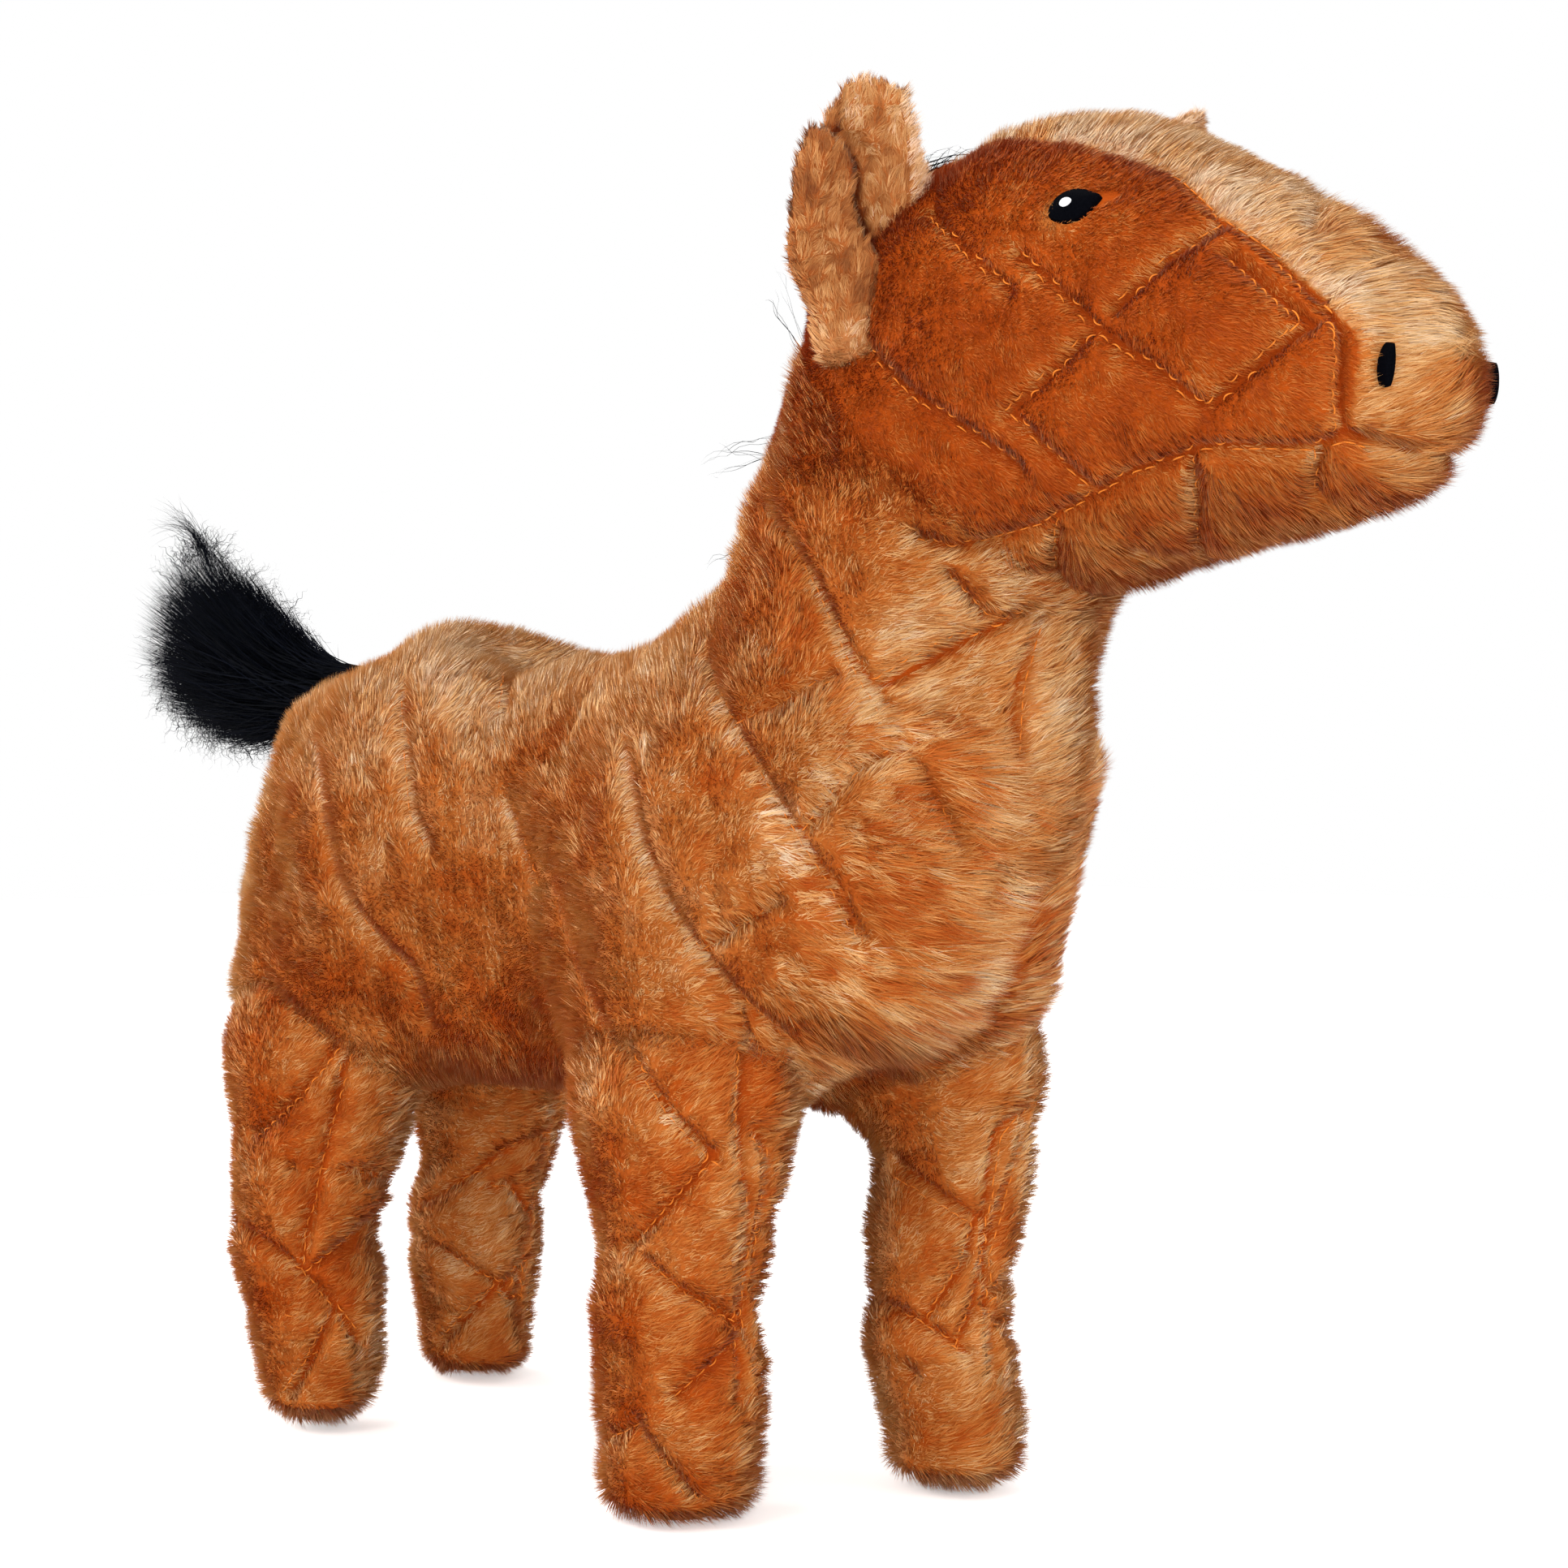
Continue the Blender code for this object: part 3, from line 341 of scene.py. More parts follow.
def noise(places, scale, seed, channels=1):
    """Random numbers from -1 to 1 at the corners of cubes of one scale, with smooth steps between corners."""
    table = np.random.default_rng(seed).uniform(-1, 1, (NOISE_CELLS**3, channels)).astype(np.float32)
    place = np.asarray(places, float) / scale
    low = np.floor(place)
    share = (place - low).astype(np.float32).T
    share = share * share * (3 - 2 * share)
    low = low.astype(np.int32).T % NOISE_CELLS
    corners = []
    for i, step in enumerate((NOISE_CELLS**2, NOISE_CELLS, 1)):
        high = (low[i] + 1) % NOISE_CELLS
        corners.append(((low[i] * step, 1 - share[i]), (high * step, share[i])))
    found = 0
    for x, x_share in corners[0]:
        for y, y_share in corners[1]:
            row, both = x + y, x_share * y_share
            for z, z_share in corners[2]:
                found = found + (both * z_share)[:, None] * table[row + z]
    return found if channels > 1 else found[:, 0]


# How far past a form's flat end a point still counts as beside it
FLAT_END_SLACK = 0.0001


def in_middle_plane(ahead, up):
    """Points or directions with these parts along X and Z, and none to the side."""
    return np.stack([ahead, np.zeros_like(ahead), up], axis=1)


class Form:
    """Rounded sections carried along a line of centres, with a round cap at an end that has a cap depth.

    A section's point is centre + top * half depth * sin + left * half width * cos, each of sine and cosine
    to the power of 2 over the fullness. Along runs from 0 to 1 between the first and last section, from
    -1 to 0 over the first cap and from 1 to 2 over the last.
    """

    SAMPLES = 97

    def __init__(self, centres, tilts, half_depths, half_widths, caps, fullness=2.0, cap_fullness=2.0,
                 grow=0.0):
        self.centres = np.asarray(centres, float)
        self.tilts = np.asarray(tilts, float)
        self.half_depths = np.asarray(half_depths, float) + grow
        self.half_widths = np.asarray(half_widths, float) + grow
        self.caps = tuple(cap + grow if cap else 0 for cap in caps)
        self.fullness = fullness
        self.cap_fullness = cap_fullness
        self.steps = np.linspace(0, 1, self.SAMPLES)
        self.line = np.stack([smooth(self.centres[:, i], self.steps) for i in range(3)], axis=1)
        self.tilt_line = smooth(self.tilts, self.steps)
        self.ahead_line = in_middle_plane(np.sin(self.tilt_line), np.cos(self.tilt_line))

    def points(self, along, around, grow=0.0):
        """The surface's points, or points that stand off it by a length."""
        along, around = np.broadcast_arrays(np.asarray(along, float), np.asarray(around, float))
        flat = along.ravel()
        centre = np.stack([smooth(self.centres[:, i], flat) for i in range(3)], axis=1)
        tilt = smooth(self.tilts, flat)
        forward = in_middle_plane(np.sin(tilt), np.cos(tilt))
        top = in_middle_plane(-np.cos(tilt), np.sin(tilt))
        over = np.where(flat < 0, flat, np.where(flat > 1, flat - 1, 0)) * QUARTER_TURN
        grown = [cap + grow if cap else 0 for cap in self.caps]
        cap = np.where(flat < 0, grown[0], grown[1])
        power = 2 / self.cap_fullness
        centre = centre + forward * (cap * np.sign(over) * np.abs(np.sin(over)) ** power)[:, None]
        shrink = np.cos(over).clip(0) ** power
        half_depth = (smooth(self.half_depths, flat) + grow) * shrink
        half_width = (smooth(self.half_widths, flat) + grow) * shrink
        turn = around.ravel()
        power = 2 / self.fullness
        across = np.sign(np.cos(turn)) * np.abs(np.cos(turn)) ** power * half_width
        upward = np.sign(np.sin(turn)) * np.abs(np.sin(turn)) ** power * half_depth
        found = centre + top * upward[:, None]
        found[:, 1] += across
        return found.reshape(along.shape + (3,))

    def facing(self, along, around):
        """The outward normal, along step and around step at one place, from small steps to each side."""
        step = 0.001
        ahead = self.points(along + step, around) - self.points(along - step, around)
        aside = self.points(along, around + step) - self.points(along, around - step)
        return unit(np.cross(aside, ahead)), ahead / (2 * step), aside / (2 * step)

    def nearest(self, places):
        """The place along the line of centres whose section's plane holds each point, from 0 to 1."""
        ahead = self.ahead_line
        gaps = places @ ahead.T - dot(self.line, ahead)[None, :]
        last = np.clip((gaps > 0).sum(axis=1) - 1, 0, self.SAMPLES - 2)
        rows = np.arange(len(places))
        before = gaps[rows, last]
        after = gaps[rows, last + 1]
        share = before / np.where(np.abs(before - after) < 1e-12, 1e-12, before - after)
        return np.clip((last + np.clip(share, 0, 1)) / (self.SAMPLES - 1), 0, 1)

    def in_section(self, places):
        """Each point's place on the line of centres, and how far it lies from there ahead, up and aside."""
        at = self.nearest(places)
        tilt = np.interp(at, self.steps, self.tilt_line)
        offset = places - read_off(at, self.steps, self.line)
        ahead = offset[:, 0] * np.sin(tilt) + offset[:, 2] * np.cos(tilt)
        upward = -offset[:, 0] * np.cos(tilt) + offset[:, 2] * np.sin(tilt)
        return at, ahead, upward, np.abs(offset[:, 1])

    def measured(self, places):
        """Each point's place along the form, its caps included, and its angle above the form's side."""
        at, ahead, upward, aside = self.in_section(places)
        cap = np.maximum(np.where(at < 0.5, *self.caps), 1e-9)
        rise = np.arctan2(upward / smooth(self.half_depths, at), aside / smooth(self.half_widths, at))
        return at + np.clip(ahead / cap, -1, 1), rise

    def distance(self, places):
        """How far outside the surface each point is, along the ray from its section's centre.

        With r the section's and the cap's power sum of the point's shares, it is its length times 1 - 1/r.
        """
        at, ahead, upward, aside = self.in_section(places)
        n = self.fullness
        share = (aside / smooth(self.half_widths, at)) ** n
        share = (share + np.abs(upward / smooth(self.half_depths, at)) ** n) ** (1 / n)
        cap = np.where(at < 0.5, *self.caps)
        m = self.cap_fullness
        beyond = np.where(cap > 0, np.abs(ahead) / np.maximum(cap, 1e-9), 0)
        share = np.maximum((share**m + beyond**m) ** (1 / m), 1e-6)
        length = np.sqrt(upward**2 + aside**2 + np.where(cap > 0, ahead**2, 0))
        found = length * (1 - 1 / share)
        past_end = np.abs(ahead) - FLAT_END_SLACK * (np.abs(ahead) < 10 * FLAT_END_SLACK)
        return np.where(cap > 0, found, np.maximum(found, past_end))


def part_form(centres, tilts, measures, caps, part, fullness=2.0, cap_fullness=2.0):
    """A part's form from its table of measures, drawn in by the depth of its pile."""
    half_depths = measures["depth"] / 2 * np.array(measures["depths"])
    half_widths = measures["width"] / 2 * np.array(measures["widths"])
    caps = (half_depths[0], 0) if caps is None else caps
    return Form(centres, tilts, half_depths, half_widths, caps, fullness, cap_fullness, -PILE_DEPTH[part])


def torso_form():
    places = TORSO["rear"] + TORSO["length"] * np.array(TORSO["places"])
    heights = TORSO["belly"] + TORSO["depth"] * np.array(TORSO["rises"])
    centres = in_middle_plane(places, heights) + HORSE_PLACE
    caps = (places[0] - TORSO["rear"], TORSO["rear"] + TORSO["length"] - places[-1])
    return part_form(centres, [QUARTER_TURN] * len(places), TORSO, caps, "torso", 2.4)


def neck_form():
    along = NECK["length"] * np.array([NECK["forwards"], NECK["rises"]])
    centres = in_middle_plane(*along) + NECK_BASE + HORSE_PLACE
    return part_form(centres, NECK["tilt"] * np.array(NECK["tilts"]), NECK, None, "neck")


def head_form():
    seat = neck_form().centres[-1]
    places = seat[0] - HEAD["back"] + HEAD["length"] * np.array(HEAD["places"])
    centres = in_middle_plane(places, seat[2] + HEAD["up"] - HEAD["drop"] * np.array(HEAD["drops"]))
    centres[:, 1] = seat[1]
    ends = HEAD["places"]
    caps = (HEAD["length"] * ends[0], HEAD["length"] * (1 - ends[-1]))
    return part_form(centres, [HEAD["tilt"]] * len(places), HEAD, caps, "head", 2.2, 2.2)


def leg_form(word):
    step, diameter, rounds = LEGS[word]
    hip = JOINTS["leg_swing_" + word]
    down = np.array(LEG_PLACES)
    centres = in_middle_plane(hip[0] + step * down, hip[2] - (hip[2] - SOLE) * down)
    centres[:, 1] = hip[1]
    measures = {"depth": diameter, "depths": rounds, "width": HIP_WIDTH, "widths": LEG_WIDTHS}
    return part_form(centres, [math.pi] * len(down), measures, None, "leg")


FORMS = {"torso": torso_form(), "neck": neck_form(), "head": head_form()}
FORMS.update({word: leg_form(word) for word in LEGS})
JOIN_WIDTH = 0.018
LEG_JOIN_WIDTH = 0.030
NEIGHBOURS = {
    "torso": ("neck", *LEGS),
    "neck": ("torso", "head"),
    "head": ("neck",),
    "fore_right": ("torso",), "fore_left": ("torso",), "hind_right": ("torso",), "hind_left": ("torso",),
}


def joined(first, second, width):
    """The smaller of two distances, less the square of their overlap over four times the fillet's width."""
    overlap = np.maximum(width - np.abs(first - second), 0)
    return np.minimum(first, second) - overlap**2 / (4 * width)


def body_distance(places, names=tuple(FORMS)):
    """How far each point is outside the whole stuffed body, with its parts joined by fillets."""
    found = FORMS[names[0]].distance(places)
    for name in names[1:]:
        width = LEG_JOIN_WIDTH if name in LEGS or names[0] in LEGS else JOIN_WIDTH
        found = joined(found, FORMS[name].distance(places), width)
    return found


def stroke(points, step):
    """Points a step apart along straight lines between those given."""
    points = np.asarray(points, float)
    reach = lengths_along(points)
    return read_off(np.linspace(0, reach[-1], max(int(reach[-1] / step), 2)), reach, points)


def camera_rays(pixels):
    """The way from the camera through each pixel, as far as a plane one metre ahead."""
    shares = (np.asarray(pixels, float) - PHOTO_SIDE / 2) / PHOTO_FOCAL
    return CAMERA_AHEAD + shares[:, :1] * CAMERA_ASIDE - shares[:, 1:] * CAMERA_UP


def found_on_body(pixels, names=tuple(FORMS)):
    """Where the camera's ray through each pixel meets the body, stepping a share of the distance left."""
    rays = camera_rays(pixels)
    reach = np.full(len(rays), RAY_START)
    for _ in range(45):
        left = body_distance(CAMERA_PLACE + rays * reach[:, None], names)
        reach += 0.6 * np.clip(left, -0.01, 0.05)
    found = CAMERA_PLACE + rays * reach[:, None]
    return found, np.abs(body_distance(found, names)) < RAY_SLACK


def onto_body(places, names=tuple(FORMS)):
    """Points moved to the body's surface, three times by the distance against its slope."""
    step = 0.0003
    for _ in range(3):
        here = body_distance(places, names)
        slope = np.stack(
            [(body_distance(places + step * np.eye(3)[i], names) - here) / step for i in range(3)], axis=1
        )
        places = places - (here / np.maximum(dot(slope, slope), 0.2))[:, None] * slope
    return places


def sewn(group, names=tuple(FORMS), mirror=True, shift=0.0, others=tuple(FORMS)):
    """A group of the photograph's lines laid on the body, and their mirror images laid on its other side."""
    strokes = [stroke(pixels, 5) for pixels in group]
    ends = np.cumsum([len(found) for found in strokes])[:-1]
    places, met = found_on_body(np.concatenate(strokes), names)
    lines = [line[hit] for line, hit in zip(np.split(places, ends), np.split(met, ends))]
    if mirror:
        other = places.copy()
        other[:, 0] += shift
        other[:, 1] = 2 * HORSE_PLACE[1] - other[:, 1]
        other = onto_body(other, others)
        lines += [line[hit] for line, hit in zip(np.split(other, ends), np.split(met, ends))]
    return [line for line in lines if len(line) > 3]


def quilting():
    """All lines of stitching on the body, each as points a millimetre apart."""
    lines = sewn(HEAD_LINES) + sewn(BODY_LINES) + sewn(CENTRE_LINES, mirror=False)
    for word, group in LEG_LINES.items():
        other = MIRROR_LEG[word]
        shift = JOINTS["leg_swing_" + other][0] - JOINTS["leg_swing_" + word][0]
        lines += sewn(group, (word, "torso"), True, shift, (other, "torso"))
    return lines


def ring_quads(rows, columns):
    """Corner numbers of the quads of a grid that is closed round, in outward order."""
    row, column = np.meshgrid(np.arange(rows - 1), np.arange(columns), indexing="ij")
    a = row * columns + column
    b = row * columns + (column + 1) % columns
    return np.stack([a, b, b + columns, a + columns], axis=-1)


class Skin:
    """A padded skin over one form: its grid of points, normals, stitching's pull and depth in others."""

    PUFF = 0.0021
    PULL = 0.0023
    SEAM_WIDTH = 0.0018
    PILLOW_WIDTH = 0.0065
    RUMPLE_SIZES = (0.017, 0.0075)
    RUMPLE_HEIGHTS = (0.0010, 0.0005)
    RUMPLE_CLEAR = 0.008
    # How deep in a neighbour the fillet starts and ends, and the cloth no longer shows
    FILLET_DEPTHS = (-0.013, -0.007)
    BURIED_DEPTH = -0.0085
    FLOOR_GAP = 0.0002
    FOOT_FLAT = (0.001, 0.006)
    # The rings of a sole: shares of its breadth, and heights
    SOLE_SHARES = (0.94, 0.86, 0.74, 0.5, 0.25, 0.0)
    SOLE_HEIGHTS = (0.0014, 0.0008, 0.0006, 0.0005, 0.0005, 0.0005)

    def __init__(self, name, along, columns, stitches, bare=()):
        self.name = name
        self.form = FORMS[name]
        self.around = self.even_turns(columns)
        points = self.form.points(np.asarray(along, float)[:, None], self.around[None, :])
        if name in LEGS:
            points = self.with_sole(points)
        self.rows, self.columns = points.shape[:2]
        flat = points.reshape(-1, 3)
        normals = self.grid_normals(flat)
        others = NEIGHBOURS[name]
        depth = np.min([FORMS[o].distance(flat) for o in others], axis=0)
        hold = ease(depth, *self.FILLET_DEPTHS)
        moved = np.zeros(len(flat))
        for _ in range(3):
            left = body_distance(flat + normals * moved[:, None], (name, *others))
            moved = np.clip(moved - 0.9 * left, 0, LEG_JOIN_WIDTH / 4)
        flat = flat + normals * (moved * hold)[:, None]
        normals = self.grid_normals(flat)
        gap, self.toward = stitch_gaps(flat, stitches)
        near = np.exp(-((gap / self.SEAM_WIDTH) ** 1.6))
        pillow = 1 - np.exp(-gap / self.PILLOW_WIDTH)
        rumple = sum(
            noise(flat, size, 11 + i) * height
            for i, (size, height) in enumerate(zip(self.RUMPLE_SIZES, self.RUMPLE_HEIGHTS))
        )
        lift = self.PUFF * pillow - self.PULL * near + rumple * ease(gap, 0.0, self.RUMPLE_CLEAR)
        clear = np.ones(len(flat))
        for place, radius in bare:
            clear *= ease(np.linalg.norm(flat - place, axis=1), radius, radius * 1.9)
        lift = lift * clear + FACE_REST * (1 - clear)
        if name in LEGS:
            lift *= ease(flat[:, 2], *self.FOOT_FLAT)
        flat = flat + normals * (lift + stuffing(name, flat, normals))[:, None]
        flat[:, 2] = np.maximum(flat[:, 2], self.FLOOR_GAP)
        self.points = flat
        self.normals = self.grid_normals(flat)
        self.near = near
        self.gap = gap
        self.buried = depth < self.BURIED_DEPTH

    def even_turns(self, columns):
        """Angles round a section that are equal lengths apart on its outline."""
        dense = np.linspace(0, WHOLE_TURN, 2881)
        reach = lengths_along(self.form.points(0.5, dense))
        return np.interp(np.linspace(0, reach[-1], columns, endpoint=False), reach, dense)

    def with_sole(self, points):
        """Rows that round the foot in by a quarter ellipse and close its flat underside."""
        level = points.mean(axis=1, keepdims=True)
        level[..., 2] = 0
        low = np.clip((FOOT_ROUND - points[..., 2:]) / (FOOT_ROUND * 1.12), 0, 1)
        grown = level + (points - level) * np.sqrt(1 - low**2)
        grown[..., 2] = points[..., 2]
        ring = grown[-1]
        middle = ring.mean(axis=0)
        rows = [grown]
        for share, height in zip(self.SOLE_SHARES, self.SOLE_HEIGHTS):
            row = middle + (ring - middle) * share
            row[:, 2] = height
            rows.append(row[None])
        return np.concatenate(rows)

    def grid_normals(self, flat):
        """Outward normals: the cross of the steps round and along the grid."""
        grid = flat.reshape(-1, len(self.around), 3)
        round_step = np.roll(grid, -1, axis=1) - np.roll(grid, 1, axis=1)
        normals = np.cross(round_step, np.gradient(grid, axis=0)).reshape(-1, 3)
        weak = np.linalg.norm(normals, axis=1) < 1e-14
        normals[weak] = unit(flat - flat.mean(axis=0))[weak]
        return unit(normals)

    def quads(self):
        return ring_quads(self.rows, self.columns).reshape(-1, 4)


# How far from a skin's box its stitches may lie, and how many points are measured at once
STITCH_REACH = 0.03
STITCH_BATCH = 4000


def stitch_gaps(places, stitches):
    """How far each point is from the nearest stitch near the points' own box, and the way to it."""
    spots = np.concatenate(stitches)
    reach = STITCH_REACH
    inside = ((spots > places.min(axis=0) - reach) & (spots < places.max(axis=0) + reach)).all(axis=1)
    spots = spots[inside]
    squares = dot(spots, spots)
    nearest = np.empty(len(places), int)
    for start in range(0, len(places), STITCH_BATCH):
        part = places[start : start + STITCH_BATCH]
        nearest[start : start + STITCH_BATCH] = (squares[None, :] - 2 * part @ spots.T).argmin(axis=1)
    toward = spots[nearest] - places
    return np.linalg.norm(toward, axis=1), unit(toward)


def mesh_object(name, points, faces, material, corner_uvs=None, normals=None):
    """A smooth mesh from points and faces of one corner count each, put in place in its own coordinates."""
    mesh = bpy.data.meshes.new(name)
    groups = faces if isinstance(faces, (list, tuple)) else [faces]
    corners = np.concatenate([group.ravel() for group in groups])
    counts = np.concatenate([np.full(len(group), group.shape[1]) for group in groups])
    mesh.vertices.add(len(points))
    mesh.vertices.foreach_set("co", np.asarray(points, np.float32).ravel())
    mesh.loops.add(len(corners))
    mesh.loops.foreach_set("vertex_index", corners.astype(np.int32))
    mesh.polygons.add(len(counts))
    mesh.polygons.foreach_set("loop_start", np.concatenate([[0], np.cumsum(counts)[:-1]]).astype(np.int32))
    mesh.polygons.foreach_set("loop_total", counts.astype(np.int32))
    mesh.polygons.foreach_set("use_smooth", np.ones(len(counts), bool))
    mesh.update(calc_edges=True)
    if corner_uvs is not None:
        layer = mesh.uv_layers.new(name="OFBake")
        layer.data.foreach_set("uv", np.asarray(corner_uvs, np.float32).ravel())
    if normals is not None:
        mesh.normals_split_custom_set_from_vertices(normals)
    mesh.materials.append(material)
    piece = bpy.data.objects.new(name, mesh)
    bpy.context.scene.collection.objects.link(piece)
    return piece


def with_ends(values, columns):
    """A grid's values with the means of its first and last row after them."""
    return np.concatenate([values, [values[:columns].mean(axis=0), values[-columns:].mean(axis=0)]])


def skin_object(skin, name, material):
    """The skin's grid as a closed mesh: each end row is drawn to one point, and each point keeps its tone,
    darkened by painted shade along the stitched grooves.
    """
    count = len(skin.points)
    ring = np.arange(skin.columns)
    after = (ring + 1) % skin.columns
    end = count - skin.columns
    lids = np.concatenate([
        np.stack([after, ring, np.full_like(ring, count)], axis=1),
        np.stack([end + ring, end + after, np.full_like(ring, count + 1)], axis=1),
    ])
    piece = mesh_object(name, with_ends(skin.points, skin.columns), [skin.quads(), lids], material)
    # The tone is darkened along each stitched groove: painted shade
    shade = with_ends(skin.tone - 0.40 * np.exp(-((skin.gap / GROOVE_SHADE_WIDTH) ** 2)), skin.columns)
    layer = piece.data.attributes.new("pile_tone", "FLOAT", "POINT")
    layer.data.foreach_set("value", shade.astype(np.float32))
    return piece


# The width of the painted shade that darkens the groove along a stitched line
GROOVE_SHADE_WIDTH = 0.0010
# Brushed patches: each size, and how much it lightens and darkens the pile
PATCHES = ((0.019, 0.11), (0.0080, 0.10), (0.0032, 0.08))


def mottle(places):
    """Brushed patches of lighter and darker pile, in three sizes."""
    return sum(noise(places, size, 71 + i) * strength for i, (size, strength) in enumerate(PATCHES))


# The breadth of a tuft's or lock's strip on the UV map
UV_STRIP = 0.006


def uv_column(tones):
    """Where a strip of each tone starts across the UV map."""
    return np.clip(tones, 0.004, 0.988)


def tuft_mesh(name, roots, normals, leans, widths, tones, material, seed):
    """Tapered tufts of pile, each one triangle: root - half width, root + half width and root + lean."""
    rng = np.random.default_rng(seed)
    count = len(roots)
    ahead = unit(leans)
    flat_side = unit(np.cross(ahead, normals))
    turn = rng.uniform(-1.1, 1.1, count)[:, None]
    half = (flat_side * np.cos(turn) + np.cross(ahead, flat_side) * np.sin(turn)) * (widths / 2)[:, None]
    points = np.stack([roots - half, roots + half, roots + leans], axis=1)
    inward = dot(np.cross(points[:, 1] - points[:, 0], points[:, 2] - points[:, 0]), normals) < 0
    points[inward] = points[inward][:, [1, 0, 2]]
    points[:, :, 2] = np.maximum(points[:, :, 2], Skin.FLOOR_GAP)
    faces = 3 * np.arange(count)[:, None] + np.arange(3)
    low = uv_column(tones)
    high = low + UV_STRIP
    uvs = np.stack([low, 0 * low, high, 0 * low, low + UV_STRIP / 2, 1 + 0 * low], axis=1)
    soft = unit(normals + ahead * 0.25 + rng.normal(0, 0.22, (count, 3)))
    corner_normals = np.repeat(soft, 3, axis=0)
    return mesh_object(name, points.reshape(-1, 3), faces, material, uvs.reshape(-1, 2), corner_normals)


def sample_skin(skin, count, rng, keep=None):
    """Random places on the skin, spread by area over the quads that show, and that area.

    Each place has its root, normal, share of a seam, gap from a seam, way to it and tone.
    """
    quads = skin.quads()
    shown = ~skin.buried[quads].all(axis=1)
    if keep is not None:
        shown &= keep[quads].all(axis=1)
    quads = quads[shown]
    corners = skin.points[quads]
    area = np.linalg.norm(np.cross(corners[:, 2] - corners[:, 0], corners[:, 3] - corners[:, 1]), axis=1) / 2
    total = np.cumsum(area)
    pick = np.searchsorted(total, rng.uniform(0, total[-1], count))
    chosen = quads[np.minimum(pick, len(quads) - 1)]
    s, t = rng.uniform(0, 1, (2, count))
    weights = np.stack([(1 - s) * (1 - t), s * (1 - t), s * t, (1 - s) * t], axis=1)
    found = [np.einsum("nk,nk...->n...", weights, values[chosen])
             for values in (skin.points, skin.normals, skin.near, skin.gap, skin.toward, skin.tone)]
    found[1] = unit(found[1])
    return found, float(total[-1])


def of_place(value, roots, normals):
    """A number for each root: worked out from its place and normal, or the same for all."""
    return value(roots, normals) if callable(value) else value


# How much the pile sags under its own weight
SAG = np.array([0.0, 0.0, -0.06])


def gathered(places, size, seed):
    """The way from each point to a random middle in its cell of one size, and the cell's own number."""
    places = places + noise(places, size * 2.5, seed + 1, 3) * size * 0.8
    table = np.random.default_rng(seed).uniform(0.1, 0.9, (NOISE_CELLS, NOISE_CELLS, NOISE_CELLS, 4))
    low = np.floor(places / size).astype(int)
    cell = table[tuple((low % NOISE_CELLS).T)]
    return (low + cell[:, :3]) * size - places, (cell[:, 3] - 0.5) * 2.5


# The pile's clumps, tufts and locks: their sizes, and how far a tip may be drawn to its tuft's middle
CLUMP_SIZES = (0.0120, 0.0034)
TUFT_SIZE = 0.0026
LOCK_SIZE = 0.0060
TIP_DRAW = 0.0016
# How close to the floor and to a seam's middle pile grows, and how high the sole's bare flat reaches
PILE_FLOOR = 0.0007
PILE_SEAM = 0.0006
SOLE_FLAT = 0.003
# Pile lighter where it leans over a seam, as a painted highlight, and darker behind it, as painted shade:
# distances from the seam
SEAM_HIGHLIGHT_GAP = 0.0016
SEAM_HIGHLIGHT_WIDTH = 0.0013
SEAM_SHADE = 0.0030
MOST_TUFTS = 190000


